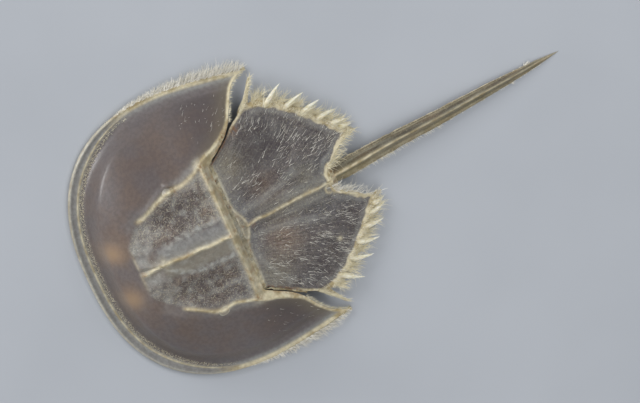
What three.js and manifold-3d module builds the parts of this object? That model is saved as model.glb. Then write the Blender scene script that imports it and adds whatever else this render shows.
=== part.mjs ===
// Horseshoe crab shell: the dried, cast-off skin of a young animal. Millimetres, +Z up.
// The head points to -Y, the tail spine to +Y, and the shell lies on its rim at z = 0.
// Plan dimensions are measured from the point midway between the tips of the two cheeks.
// The last lines put the part's origin under the middle of its bounding box.
import * as THREE from "three";
import { mergeVertices } from "three/addons/utils/BufferGeometryUtils.js";
import Module from "manifold-3d";

const wasm = await Module();
wasm.setup();
const { lerp, smoothstep, clamp, degToRad } = THREE.MathUtils;

// Skin
const WALL = 0.6;
const STEEPEST = 2; // the wall counts as no steeper than this when its underside is worked out
const SEAM = 0.3; // clearance between separate pieces

// Head shield
const HALF_WIDTH = 29.6;
const WIDEST_Y = -18;
const FRONT_Y = -45.4;
const FRONT_ROUNDNESS = 2.43; // exponent of the front outline's superellipse
const CHEEK_TIP = [26.9, 0.5];
const CHEEK_SWEEP = 1.5; // how late the side outline turns in towards the cheek tip
const HINGE_Y = -13.8;
const HINGE_HALF = 13.6;
const DOME_HEIGHT = 14;
const DOME_POWER = { side: 2, front: 3.2 }; // how full the dome is towards its edges
const REAR_FALL = 0.18; // share of its height that the dome loses towards the cheek tips
const FURROW = { x: 7.6, spread: 2.9, depth: 1.4, from: -35, full: -31 };
const REAR_LIP = { width: 1.5, drop: 1.3 };
const RIM = { front: 2.1, side: 1.2, from: -38, to: -24, height: 0.95, rise: 4 };
const RIM_BEAD = { at: 0.5, spread: 0.4, height: 0.4 };
const RIM_LINE = { at: 1.95, spread: 0.25, height: 0.25 };
const EYE = { x: 14, y: -23.3, radii: [0.75, 1.35, 0.8], turn: degToRad(24) };

// Abdomen plate
const PLATE_FRONT_Y = -14.9; // tucked under the head shield
const PLATE_REAR_Y = 15.6; // tips of the two fixed rear spines
const NOTCH_Y = 7.2; // floor of the notch that holds the tail spine
const PLATE_EDGE = 1.2; // height of the low edge
const PLATE_RISE = 10; // how far the crown stands above that edge
const PLATE_HALF = { front: 27.6, rear: 8.2, power: 2.1 }; // half width of the vault
const PLATE_FALL = 1.4; // power of the vault's fall from front to rear
const PLATE_TUCK = { y: -12.6, slope: 0.9 };
const PLATE_FURROW = { x: 4.2, spread: 1.5, depth: 0.5 };
const PLATE_BEAD = { at: 0.7, spread: 0.5, height: 0.3, from: -6 };
const FRONT_LOBE = { root: [18.2, -5.6], tip: [25.1, 0.4], radius: 1.35, flatness: 0.5 };

// Tail spine
const TAIL = { length: 51.6, half: 2, taper: 2.4, height: 1.45, point: 0.06, underside: 1.8 };
const TAIL_ROOT = { x: -0.3, y: 7.7, pinch: 0.25 };
const TAIL_YAW = degToRad(4.5); // the tail dried a little to one side

// Loose spines of one side, from front to rear: root and tip in plan
const LOOSE_SPINES = [
  { root: [18.9, 1.3], tip: [21.6, 5.6] },
  { root: [16.8, 4.6], tip: [18, 9.1] },
  { root: [14.4, 7.3], tip: [15.3, 11.5] },
  { root: [12, 9.8], tip: [12.2, 13.7] },
  { root: [9.9, 11.9], tip: [9.3, 15.2] },
  { root: [8.5, 13.2], tip: [8.1, 15.5] },
];
const SPINE_RADIUS = 0.62;
const SPINE_FLATNESS = 0.6;
const SPINE_SUNK = 0.35; // depth of a loose spine's axis under the plate's surface
const SPINE_DROOP = 0.3;

// Lines in plan
const CHEEK_EDGE = [
  [HINGE_HALF, HINGE_Y],
  [14.6, -12.6],
  [15.7, -11],
  [17.1, -8.9],
  [18.7, -7.3],
  [20.4, -6.2],
  [22.6, -5],
  [25, -3.3],
  [26.2, -1.6],
  CHEEK_TIP,
];
const PLATE_OUTLINE = [
  [12.7, PLATE_FRONT_Y],
  [14, -12.3],
  [16.6, -8.5],
  [18, -6.9],
  [19.2, -5.2],
  [20.4, -3],
  [20.7, -0.8],
  [20, 1.8],
  [16.1, 6.7],
  [11.4, 11.1],
  [7.9, 14.4],
  [6.9, PLATE_REAR_Y],
];
const NOTCH = [
  [0, NOTCH_Y],
  [1.6, NOTCH_Y + 0.1],
  [2.6, 8],
  [3.1, 9],
  [4.1, 10.3],
  [5.3, 11.9],
  [6.1, 13.5],
  [6.9, PLATE_REAR_Y],
];
const KEEL = [
  [0, -35.3],
  [0, -25],
  [0, -14.4],
];
const EYE_RIDGE = [
  [9.3, -31.8],
  [11.7, -27],
  [12.8, -24.5],
  [13.4, -22.4],
  [13.6, -20.3],
  [14.9, -15.8],
  [16.4, -13.4],
  [18.4, -9.3],
  [20.2, -7.2],
  [22.6, -5.7],
  [25.1, -3.9],
  [26.2, -2.2],
];
const HINGE_RIDGE = [
  [-14.6, -15.4],
  [0, -14.9],
  [14.6, -15.4],
];
const BROW = [
  [-9.3, -31.8],
  [-7.6, -34],
  [-4, -35.2],
  [4, -35.2],
  [7.6, -34],
  [9.3, -31.8],
];
const PLATE_KEEL = [
  [0, -12.6],
  [0, -3],
  [0, 6.6],
];
const PLATE_FRONT_RIDGE = [
  [-13.1, -13],
  [0, -12.6],
  [13.1, -13],
];
const NOTCH_RIDGE = [
  [1.6, 6.7],
  [3.3, 7.7],
  [5.4, 11],
  [6.8, 14.6],
];

// Facets
const RIM_ROWS = [0, 0.24, 0.55, 0.92, 1.2]; // in rim widths
const HEAD_ROWS = [0.08, 0.17, 0.28, 0.41, 0.55, 0.7, 0.84, 0.94, 1];
const HEAD_COLUMNS = { front: 13, cheek: 11 };
const HEAD_SHARE = { hinge: 0.56, tip: 0.988 }; // of the half outline's length
const PLATE_ROWS = [0, 0.04, 0.1, 0.22, 0.4, 0.6, 0.8, 1];
const PLATE_COLUMNS = 19;
const PLATE_SHARE = { notch: 0.7, tip: 0.985 };
const RIDGE_PITCH = 2;
const TAIL_STEPS = 14;

const bump = (distance, spread) => Math.exp(-((distance / spread) ** 2));
const pile = (at, { at: centre, spread, height }) => height * bump(at - centre, spread);
const spline = (points) => new THREE.SplineCurve(points.map(([x, y]) => new THREE.Vector2(x, y)));
const mirrored = (points) => points.map(([x, y]) => [-x, y]);
const onSide = (side, [x, y], z) => new THREE.Vector3(side * x, y, z);

// Half width of the head shield behind its widest point
function headHalfWidth(y) {
  const back = clamp((y - WIDEST_Y) / (CHEEK_TIP[1] - WIDEST_Y), 0, 1);
  return HALF_WIDTH - (HALF_WIDTH - CHEEK_TIP[0]) * back ** CHEEK_SWEEP;
}

// Half outline of the head shield, from the middle of the front to the cheek tip
class HeadOutline extends THREE.Curve {
  getPoint(t, target = new THREE.Vector2()) {
    const frontShare = 0.7;
    const power = 2 / FRONT_ROUNDNESS;
    if (t <= frontShare) {
      const angle = ((t / frontShare) * Math.PI) / 2;
      const ahead = (WIDEST_Y - FRONT_Y) * Math.max(Math.cos(angle), 0) ** power;
      return target.set(HALF_WIDTH * Math.sin(angle) ** power, WIDEST_Y - ahead);
    }
    const y = lerp(WIDEST_Y, CHEEK_TIP[1], (t - frontShare) / (1 - frontShare));
    return target.set(headHalfWidth(y), y);
  }
}

const headOutline = new HeadOutline();
const cheekEdge = spline(CHEEK_EDGE);
const plateOutline = spline(PLATE_OUTLINE);
const notchEdge = spline(NOTCH);
const headOutlinePoints = headOutline.getSpacedPoints(120);
const headRearPoints = [new THREE.Vector2(0, HINGE_Y), ...cheekEdge.getSpacedPoints(60)];
const plateOutlinePoints = plateOutline.getSpacedPoints(80).filter((p) => p.y > PLATE_BEAD.from);

// Distance in plan from a line of points to a point, folded over to the right half
function distanceTo(points, x, y) {
  const leg = new THREE.Vector2();
  const away = new THREE.Vector2();
  let least = Infinity;
  for (let i = 1; i < points.length; i++) {
    leg.subVectors(points[i], points[i - 1]);
    away.set(Math.abs(x), y).sub(points[i - 1]);
    const share = clamp(away.dot(leg) / leg.lengthSq(), 0, 1);
    least = Math.min(least, away.addScaledVector(leg, -share).length());
  }
  return least;
}

const rimWidth = (y) => lerp(RIM.front, RIM.side, smoothstep(y, RIM.from, RIM.to));

// Rolled rim in section: an outer bead, a channel and a fine inner line
function rimHeight(distance, width) {
  const across = (distance / width) * RIM.front;
  return RIM.height + pile(across, RIM_BEAD) + pile(across, RIM_LINE);
}

// Dome of the head shield, 0 along its margin
function headDome(x, y) {
  const side = (Math.abs(x) / HALF_WIDTH) ** FRONT_ROUNDNESS;
  const front = (Math.max(WIDEST_Y - y, 0) / (WIDEST_Y - FRONT_Y)) ** FRONT_ROUNDNESS;
  const ahead = y < WIDEST_Y;
  const reach = ahead ? Math.min((side + front) ** (1 / FRONT_ROUNDNESS), 1) : Math.abs(x) / headHalfWidth(y);
  const frontShare = ahead ? front / (side + front) : 0;
  const power = lerp(DOME_POWER.side, DOME_POWER.front, frontShare);
  const rear = clamp((y - HINGE_Y) / (CHEEK_TIP[1] - HINGE_Y), 0, 1);
  return DOME_HEIGHT * (1 - reach ** power) * (1 - REAR_FALL * rear);
}

// Upper surface of the head shield, without its ridges
function headTop(x, y) {
  const shallow = 1 - 0.5 * smoothstep(y, WIDEST_Y, HINGE_Y);
  const depth = FURROW.depth * smoothstep(y, FURROW.from, FURROW.full) * shallow;
  const dome = headDome(x, y) - depth * bump(Math.abs(x) - FURROW.x, FURROW.spread);
  const fromMargin = distanceTo(headOutlinePoints, x, y);
  const width = rimWidth(y);
  const rise = smoothstep(fromMargin, width, width + RIM.rise);
  const z = lerp(rimHeight(fromMargin, width), dome, rise);
  const lip = 1 - smoothstep(distanceTo(headRearPoints, x, y), 0, REAR_LIP.width);
  return z - REAR_LIP.drop * lip * clamp(z / DOME_HEIGHT, 0, 1);
}

// Upper surface of the abdomen plate, without its ridges
function plateTop(x, y) {
  const back = clamp((y - PLATE_FRONT_Y) / (PLATE_REAR_Y - PLATE_FRONT_Y), 0, 1);
  const half = lerp(PLATE_HALF.front, PLATE_HALF.rear, back ** PLATE_HALF.power);
  const vault = PLATE_RISE * (1 - back ** PLATE_FALL) * (1 - (x / half) ** 2);
  const furrow = PLATE_FURROW.depth * bump(Math.abs(x) - PLATE_FURROW.x, PLATE_FURROW.spread) * (1 - back);
  const tuck = PLATE_TUCK.slope * Math.max(0, PLATE_TUCK.y - y);
  return PLATE_EDGE + vault - furrow - tuck + pile(distanceTo(plateOutlinePoints, x, y), PLATE_BEAD);
}

// Underside of a skin of even thickness below a surface
function skinBelow(top, x, y) {
  const step = WALL / 2;
  const slopeX = (top(x + step, y) - top(x - step, y)) / (2 * step);
  const slopeY = (top(x, y + step) - top(x, y - step)) / (2 * step);
  return top(x, y) - WALL * Math.min(Math.hypot(1, slopeX, slopeY), STEEPEST);
}

function toSolid(geometry) {
  const bare = geometry.clone();
  bare.deleteAttribute("normal");
  bare.deleteAttribute("uv");
  const merged = mergeVertices(bare, 1e-5);
  const vertProperties = new Float32Array(merged.attributes.position.array);
  const triVerts = new Uint32Array(merged.index.array);
  return new wasm.Manifold(new wasm.Mesh({ numProp: 3, vertProperties, triVerts }));
}

function toGeometry(solid) {
  const mesh = solid.getMesh();
  const geometry = new THREE.BufferGeometry();
  geometry.setAttribute("position", new THREE.BufferAttribute(mesh.vertProperties, 3));
  geometry.setIndex(new THREE.BufferAttribute(mesh.triVerts, 1));
  geometry.computeVertexNormals();
  return geometry;
}

const joined = (solids) => solids.reduce((whole, solid) => whole.add(solid));

// Solid inside a closed set of triangles, whichever way round they are listed
function closedSolid(points, triangles) {
  const geometry = new THREE.BufferGeometry().setFromPoints(points);
  const solid = toSolid(geometry.setIndex(triangles.flat()));
  if (solid.volume() > 0) return solid;
  return toSolid(geometry.setIndex(triangles.flatMap(([a, b, c]) => [a, c, b])));
}

// Closed sheet between the upper and lower points of a grid, columns[i][row] = [upper, lower]
function thickSheet(columns) {
  const last = columns.length - 1;
  const lastRow = columns[0].length - 1;
  const at = (i, row, side) => 2 * (i * (lastRow + 1) + row) + side;
  const triangles = [];
  const quad = (a, b, c, d) => triangles.push([a, b, c], [a, c, d]);
  for (let i = 0; i < last; i++) {
    for (let row = 0; row < lastRow; row++) {
      quad(at(i, row, 0), at(i + 1, row, 0), at(i + 1, row + 1, 0), at(i, row + 1, 0));
      quad(at(i, row, 1), at(i, row + 1, 1), at(i + 1, row + 1, 1), at(i + 1, row, 1));
    }
    quad(at(i, 0, 1), at(i + 1, 0, 1), at(i + 1, 0, 0), at(i, 0, 0));
    quad(at(i, lastRow, 0), at(i + 1, lastRow, 0), at(i + 1, lastRow, 1), at(i, lastRow, 1));
  }
  for (let row = 0; row < lastRow; row++) {
    quad(at(0, row, 0), at(0, row + 1, 0), at(0, row + 1, 1), at(0, row, 1));
    quad(at(last, row, 0), at(last, row, 1), at(last, row + 1, 1), at(last, row + 1, 0));
  }
  return closedSolid(columns.flat(2), triangles);
}

// Closed bar through loops of points that all have the same count
function loft(loops) {
  const size = loops[0].length;
  const last = (loops.length - 1) * size;
  const triangles = [];
  for (let start = 0; start < last; start += size)
    for (let j = 0; j < size; j++) {
      const [a, b] = [start + j, start + ((j + 1) % size)];
      triangles.push([a, b, b + size], [a, b + size, a + size]);
    }
  for (let j = 2; j < size; j++) triangles.push([0, j, j - 1], [last, last + j - 1, last + j]);
  return closedSolid(loops.flat(), triangles);
}

// Low ridge that follows a surface along a plan line and fades out at its ends
function ridge(points, surface, halfWidth, height) {
  const sunk = 0.35;
  const line = spline(points);
  const steps = Math.round(line.getLength() / RIDGE_PITCH);
  const loops = [];
  for (let i = 0; i <= steps; i++) {
    const share = i / steps;
    const fade = Math.min(1, 0.25 + 6 * Math.min(share, 1 - share));
    const crest = height * fade;
    const shoulder = 0.65 * crest;
    const section = [[-1, -sunk], [-0.5, shoulder], [0, crest], [0.5, shoulder], [1, -sunk]];
    const p = line.getPointAt(share);
    const along = line.getTangentAt(share).multiplyScalar(halfWidth * fade);
    loops.push(
      section.map(([across, up]) => {
        const x = p.x - along.y * across;
        const y = p.y + along.x * across;
        return new THREE.Vector3(x, y, surface(x, y) + up);
      }),
    );
  }
  return loft(loops);
}

// Solid from a geometry that stands on +Y, laid so that it runs from root to tip
function laid(geometry, root, tip) {
  const along = tip.clone().sub(root).normalize();
  const across = new THREE.Vector3().crossVectors(along, new THREE.Vector3(0, 0, 1)).normalize();
  const up = new THREE.Vector3().crossVectors(across, along);
  const place = new THREE.Matrix4().makeBasis(across, along, up).setPosition(root);
  return toSolid(geometry.applyMatrix4(place));
}

// Flattened blade of leaf outline
function blade(root, tip, radius, flatness) {
  const length = root.distanceTo(tip);
  const outline = [[0, 0], [0.62, 0.02], [1, 0.3], [0.66, 0.72], [0, 1]];
  const profile = outline.map(([out, along]) => new THREE.Vector2(out * radius, along * length));
  return laid(new THREE.LatheGeometry(profile, 6).scale(1, 1, flatness), root, tip);
}

// Tuft of bristles as one flat wedge
function tuft(root, tip) {
  const [width, thickness] = [1.6, 0.45];
  const length = root.distanceTo(tip);
  const wedge = new THREE.ConeGeometry(Math.SQRT1_2, length, 4).translate(0, length / 2, 0);
  return laid(wedge.rotateY(Math.PI / 4).scale(width, 1, thickness), root, tip);
}

// Tufts of both sides along an outline, leaning from its normal
function edgeTufts(outline, { from, to, count, reach, lean }, height) {
  const sunk = 0.6;
  const centre = new THREE.Vector2();
  const tufts = [];
  for (let i = 0; i < count; i++) {
    const share = lerp(from, to, (i + 0.5) / count);
    const p = outline.getPointAt(share);
    const along = outline.getTangentAt(share);
    const out = new THREE.Vector2(along.y, -along.x).rotateAround(centre, lean);
    const root = p.clone().addScaledVector(out, -sunk * Math.sign(reach)).toArray();
    const tip = p.clone().addScaledVector(out, reach).toArray();
    const z = height(p.x, p.y);
    for (const side of [-1, 1]) tufts.push(tuft(onSide(side, root, z), onSide(side, tip, z)));
  }
  return tufts;
}

// Columns of the head shield, each from the rim in to the hinge line or the cheek's inner edge
function headColumns() {
  const count = HEAD_COLUMNS.front + HEAD_COLUMNS.cheek;
  const bow = 0.4; // how far a column follows the rim's normal before it turns to its inner end
  const columns = [];
  for (let i = -count; i <= count; i++) {
    const side = i < 0 ? -1 : 1;
    const ahead = Math.abs(i) / HEAD_COLUMNS.front;
    const cheek = (Math.abs(i) - HEAD_COLUMNS.front) / HEAD_COLUMNS.cheek;
    const share = ahead <= 1 ? ahead * HEAD_SHARE.hinge : lerp(HEAD_SHARE.hinge, HEAD_SHARE.tip, cheek);
    const outer = headOutline.getPointAt(share);
    const hinge = new THREE.Vector2(HINGE_HALF * ahead, HINGE_Y);
    const inner = ahead <= 1 ? hinge : cheekEdge.getPointAt(cheek * HEAD_SHARE.tip);
    const length = outer.distanceTo(inner);
    const along = headOutline.getTangentAt(share);
    const middle = new THREE.Vector2(-along.y, along.x).multiplyScalar(bow * length).add(outer);
    const line = new THREE.QuadraticBezierCurve(outer, middle, inner);
    const rim = Math.min(rimWidth(outer.y) / length, 0.3);
    const rimRows = RIM_ROWS.map((row) => row * rim);
    const rows = [...rimRows, ...HEAD_ROWS.map((row) => lerp(rimRows.at(-1), 1, row))];
    columns.push(
      rows.map((row, index) => {
        const p = line.getPointAt(row);
        const inRim = index < RIM_ROWS.length - 1;
        const under = inRim ? 0 : Math.max(0, skinBelow(headTop, p.x, p.y));
        return [onSide(side, p.toArray(), headTop(p.x, p.y)), onSide(side, p.toArray(), under)];
      }),
    );
  }
  return columns;
}

// One half of the abdomen plate, from its outline in to the midline and the notch
function plateHalf(side) {
  const columns = [];
  for (let i = 0; i <= PLATE_COLUMNS; i++) {
    const share = (i / PLATE_COLUMNS) * PLATE_SHARE.tip;
    const ahead = share / PLATE_SHARE.notch;
    const behind = (share - PLATE_SHARE.notch) / (1 - PLATE_SHARE.notch);
    const midline = new THREE.Vector2(0, lerp(PLATE_FRONT_Y, NOTCH_Y, ahead));
    const inner = ahead <= 1 ? midline : notchEdge.getPointAt(behind);
    columns.push(
      PLATE_ROWS.map((row) => {
        const { x, y } = plateOutline.getPointAt(share).lerp(inner, row);
        return [onSide(side, [x, y], plateTop(x, y)), onSide(side, [x, y], skinBelow(plateTop, x, y))];
      }),
    );
  }
  return thickSheet(columns);
}

function eye(side) {
  const ball = new THREE.SphereGeometry(1, 10, 6).scale(...EYE.radii).rotateZ(side * EYE.turn);
  return toSolid(ball.translate(side * EYE.x, EYE.y, headTop(EYE.x, EYE.y) + 0.1));
}

function headShield() {
  const rimTufts = { from: 0.56, to: 0.97, count: 14, reach: 1.9, lean: degToRad(35) };
  return joined([
    thickSheet(headColumns()),
    ridge(KEEL, headTop, 0.75, 0.8),
    ridge(HINGE_RIDGE, headTop, 0.55, 0.45),
    ridge(BROW, headTop, 0.5, 0.25),
    ridge(EYE_RIDGE, headTop, 0.6, 0.6),
    ridge(mirrored(EYE_RIDGE), headTop, 0.6, 0.6),
    eye(1),
    eye(-1),
    ...edgeTufts(headOutline, rimTufts, () => WALL),
  ]);
}

// Loose spine, or its socket when it is given a clearance
function looseSpine({ root, tip }, side, clearance = 0) {
  const z = plateTop(...root) - SPINE_SUNK;
  const start = onSide(side, root, z);
  const end = onSide(side, tip, z - SPINE_DROOP);
  const back = end.clone().sub(start).setLength(clearance);
  const flatness = SPINE_FLATNESS + clearance / 2;
  return blade(start.sub(back), end, SPINE_RADIUS + clearance, flatness);
}

function frontLobe(side) {
  const { root, tip, radius, flatness } = FRONT_LOBE;
  const start = onSide(side, root, plateTop(...root) - WALL);
  return blade(start, onSide(side, tip, PLATE_EDGE), radius, flatness);
}

function abdomenPlate() {
  const outerTufts = { from: 0.47, to: 0.88, count: 8, reach: 1.9, lean: degToRad(42) };
  const notchTufts = { from: 0.45, to: 0.9, count: 3, reach: -2.2, lean: degToRad(60) };
  const inSkin = (x, y) => plateTop(x, y) - WALL / 2;
  const plate = joined([
    plateHalf(1),
    plateHalf(-1),
    ridge(PLATE_KEEL, plateTop, 0.6, 0.6),
    ridge(PLATE_FRONT_RIDGE, plateTop, 0.55, 0.4),
    ridge(NOTCH_RIDGE, plateTop, 0.45, 0.35),
    ridge(mirrored(NOTCH_RIDGE), plateTop, 0.45, 0.35),
    frontLobe(1),
    frontLobe(-1),
    ...edgeTufts(plateOutline, outerTufts, inSkin),
    ...edgeTufts(notchEdge, notchTufts, inSkin),
  ]);
  const sockets = [-1, 1].flatMap((side) => LOOSE_SPINES.map((spine) => looseSpine(spine, side, SEAM)));
  return sockets.reduce((whole, socket) => whole.subtract(socket), plate);
}

// Tail spine: keeled above, with hollow sides
function tailSpine() {
  const half = [[0, 1], [0.16, 0.93], [0.45, 0.56], [1, 0.3], [0.82, 0.08], [0, 0.16]];
  const section = [...half, ...mirrored(half.slice(1, -1)).reverse()];
  const loops = [];
  for (let i = 0; i <= TAIL_STEPS; i++) {
    const share = (i / TAIL_STEPS) ** 1.15; // the steps draw together towards the root
    const pinch = 1 - TAIL_ROOT.pinch * Math.exp(-share * TAIL.length);
    const width = Math.max(TAIL.half * (1 - share ** TAIL.taper) * pinch, TAIL.point);
    const under = TAIL.underside * (1 - share);
    const y = share * TAIL.length;
    loops.push(section.map(([x, z]) => new THREE.Vector3(x * width, y, under + z * TAIL.height * width)));
  }
  return loft(loops);
}

const dry = { metalness: 0, roughness: 0.45 };
const headSkin = new THREE.MeshStandardMaterial({ ...dry, color: "#8a817c" });
const plateSkin = new THREE.MeshStandardMaterial({ ...dry, color: "#857d76" });
const tailSkin = new THREE.MeshStandardMaterial({ ...dry, color: "#9b9277" });
const spineSkin = new THREE.MeshStandardMaterial({ ...dry, color: "#ddd6bd" });

function piece(name, solid, material) {
  const mesh = new THREE.Mesh(toGeometry(solid), material);
  mesh.name = name;
  return mesh;
}

const shell = new THREE.Group();
const tail = piece("tail_spine", tailSpine(), tailSkin);
tail.position.set(TAIL_ROOT.x, TAIL_ROOT.y, 0);
tail.rotation.z = TAIL_YAW;
shell.add(piece("head_shield", headShield(), headSkin));
shell.add(piece("abdomen_plate", abdomenPlate(), plateSkin));
shell.add(tail);
for (const [side, word] of [[-1, "right"], [1, "left"]])
  LOOSE_SPINES.forEach((spine, index) => {
    shell.add(piece(`edge_spine_${word}_${index + 1}`, looseSpine(spine, side), spineSkin));
  });

const bounds = new THREE.Box3().setFromObject(shell, true);
const middle = bounds.getCenter(new THREE.Vector3());
shell.position.set(-middle.x, -middle.y, -bounds.min.z);

const horseshoeCrabShell = new THREE.Group();
horseshoeCrabShell.add(shell);

export default horseshoeCrabShell;
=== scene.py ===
# Horseshoe crab shell: the dried, cast-off skin of a young animal, seen from above.
# The shell's outline, vault and ridges follow the same formulas as its solids, in millimetres of a plan
# whose zero lies on the midline, half a millimetre ahead of the cheeks' tips. part() turns it into metres.
import math

import bpy
import numpy as np
from mathutils import Matrix, Vector, noise


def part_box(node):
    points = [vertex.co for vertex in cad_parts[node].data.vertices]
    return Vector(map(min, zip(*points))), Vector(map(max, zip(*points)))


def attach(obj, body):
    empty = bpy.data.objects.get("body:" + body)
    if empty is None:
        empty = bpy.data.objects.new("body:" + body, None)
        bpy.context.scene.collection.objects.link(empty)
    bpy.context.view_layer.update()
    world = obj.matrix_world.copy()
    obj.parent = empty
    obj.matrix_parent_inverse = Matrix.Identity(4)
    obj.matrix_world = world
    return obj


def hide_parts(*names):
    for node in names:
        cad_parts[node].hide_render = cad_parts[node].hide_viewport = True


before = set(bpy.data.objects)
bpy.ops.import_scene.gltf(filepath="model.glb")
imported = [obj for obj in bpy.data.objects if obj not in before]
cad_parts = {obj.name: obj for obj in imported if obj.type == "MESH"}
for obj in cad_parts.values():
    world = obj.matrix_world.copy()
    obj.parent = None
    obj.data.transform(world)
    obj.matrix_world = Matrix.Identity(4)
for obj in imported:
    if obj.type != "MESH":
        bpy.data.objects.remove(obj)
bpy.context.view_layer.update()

MM = 0.001
random = np.random.default_rng(11)

# Head shield, in millimetres of the plan
HALF_WIDTH = 29.6
WIDEST_Y = -18.0
FRONT_Y = -45.4
FRONT_ROUNDNESS = 2.43
CHEEK_TIP = (26.9, 0.5)
CHEEK_SWEEP = 1.5
HINGE_Y = -13.8
HINGE_HALF = 13.6
DOME_HEIGHT = 14.0
DOME_POWER_SIDE, DOME_POWER_FRONT = 2.0, 3.2
REAR_FALL = 0.18
FURROW_X, FURROW_SPREAD, FURROW_DEPTH = 7.6, 2.9, 1.4
REAR_LIP_WIDTH, REAR_LIP_DROP = 1.5, 1.3
RIM_FRONT, RIM_SIDE, RIM_RISE = 2.1, 1.2, 4.0
RIM_HEIGHT = 0.95
EYE_X, EYE_Y, EYE_TURN = 13.5, -22.9, math.radians(24)
EYE_SKEW = (0.6, 0.3)  # the left eye sits this far out and back, and the right one as far in and forward
EYE_RADII = (0.85, 1.15, 0.5)

# Abdomen plate
PLATE_FRONT_Y, PLATE_REAR_Y = -14.9, 15.6
NOTCH_Y = 7.2
PLATE_EDGE, PLATE_RISE, PLATE_FALL = 1.2, 10.0, 1.4
PLATE_HALF_FRONT, PLATE_HALF_REAR, PLATE_HALF_POWER = 27.6, 8.2, 2.1
PLATE_TUCK_Y, PLATE_TUCK_SLOPE = -13.3, 0.9

# Tail spine
TAIL_LENGTH, TAIL_HALF, TAIL_HEIGHT = 51.6, 2.08, 1.3
TAIL_UNDERSIDE, TAIL_PINCH = 1.8, 0.25
TAIL_LEAN = 0.17  # how far the keel's crest leans to the right, against the half width
TAIL_ROOT = (-0.3, 7.7)
TAIL_YAW = math.radians(4.5)

SKIN, SOFT_SKIN = 0.3, 0.12  # walls of the dried skin and of the soft skin between its pieces

LOOSE_SPINES = [
    ((18.9, 1.3), (21.6, 5.6)),
    ((16.8, 4.6), (18.0, 9.1)),
    ((14.4, 7.3), (15.3, 11.5)),
    ((12.0, 9.8), (12.2, 13.7)),
    ((9.9, 11.9), (9.3, 15.2)),
    ((8.5, 13.2), (8.1, 15.5)),
]
FRONT_LOBE = ((18.2, -5.6), (25.1, 0.4))
SIDES = ((-1, "right"), (1, "left"))


def part(points):
    """Points of the plan, in millimetres, as points of the part, in metres."""
    moved = np.array(points, float)
    moved[..., 1] += PLAN_SHIFT
    return moved * MM


PLAN_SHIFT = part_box("head_shield")[0].y / MM - FRONT_Y


def smoothstep(x, low, high):
    share = np.clip((x - low) / (high - low), 0, 1)
    return share * share * (3 - 2 * share)


def bump(distance, spread):
    return np.exp(-((distance / spread) ** 2))


def most(layers):
    """The strongest of the layers at each point."""
    return np.maximum.reduce(layers)


def mottle(x, y, scale, seed=0.0):
    """Smooth noise of about one wave in scale millimetres, from -1 to 1."""
    flat = zip(np.ravel(x) / scale, np.ravel(y) / scale)
    values = [noise.noise(Vector((a, b, seed))) for a, b in flat]
    return np.array(values).reshape(np.shape(x)) * 1.6


class Line:
    """Smooth line in plan through a few points. Distances fold over to the left half."""

    def __init__(self, points, steps=10):
        given = np.array(points, float)
        padded = np.vstack([given[:1], given, given[-1:]])
        t = np.linspace(0, 1, steps, endpoint=False)[:, None]
        runs = []
        for a, b, c, d in zip(padded, padded[1:], padded[2:], padded[3:]):
            pull = 0.5 * (c - a), 0.5 * (d - b)
            runs.append(
                b + pull[0] * t + (3 * (c - b) - 2 * pull[0] - pull[1]) * t**2
                + (2 * (b - c) + pull[0] + pull[1]) * t**3
            )
        self.set(np.vstack([*runs, given[-1:]]))

    def set(self, points):
        self.points = points
        legs = np.linalg.norm(np.diff(points, axis=0), axis=1)
        self.travel = np.concatenate([[0], np.cumsum(legs)])
        self.length = self.travel[-1]
        return self

    def at(self, share):
        where = np.asarray(share) * self.length
        return np.stack([np.interp(where, self.travel, self.points[:, i]) for i in (0, 1)], -1)

    def along(self, share):
        step = 0.004
        ahead = self.at(np.clip(np.asarray(share) + step, 0, 1))
        back = self.at(np.clip(np.asarray(share) - step, 0, 1))
        way = ahead - back
        return way / np.linalg.norm(way, axis=-1, keepdims=True)

    def near(self, x, y):
        """Distance to the line and the share of its length at the nearest point."""
        p = np.stack([np.abs(x), y], -1)
        least = np.full(np.shape(x), 1e9)
        share = np.zeros(np.shape(x))
        for start, end, low, high in zip(self.points, self.points[1:], self.travel, self.travel[1:]):
            leg = end - start
            t = np.clip(((p - start) @ leg) / max(leg @ leg, 1e-12), 0, 1)
            d = np.linalg.norm(p - start - t[..., None] * leg, axis=-1)
            closer = d < least
            least = np.where(closer, d, least)
            share = np.where(closer, (low + t * (high - low)) / self.length, share)
        return least, share


def head_half_width(y):
    back = np.clip((y - WIDEST_Y) / (CHEEK_TIP[1] - WIDEST_Y), 0, 1)
    return HALF_WIDTH - (HALF_WIDTH - CHEEK_TIP[0]) * back**CHEEK_SWEEP


def head_outline_points():
    angle = np.linspace(0, math.pi / 2, 90)
    power = 2 / FRONT_ROUNDNESS
    front_x = HALF_WIDTH * np.sin(angle) ** power
    front_y = WIDEST_Y - (WIDEST_Y - FRONT_Y) * np.clip(np.cos(angle), 0, 1) ** power
    side_y = np.linspace(WIDEST_Y, CHEEK_TIP[1], 40)[1:]
    return np.column_stack(
        [np.concatenate([front_x, head_half_width(side_y)]), np.concatenate([front_y, side_y])]
    )


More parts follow.
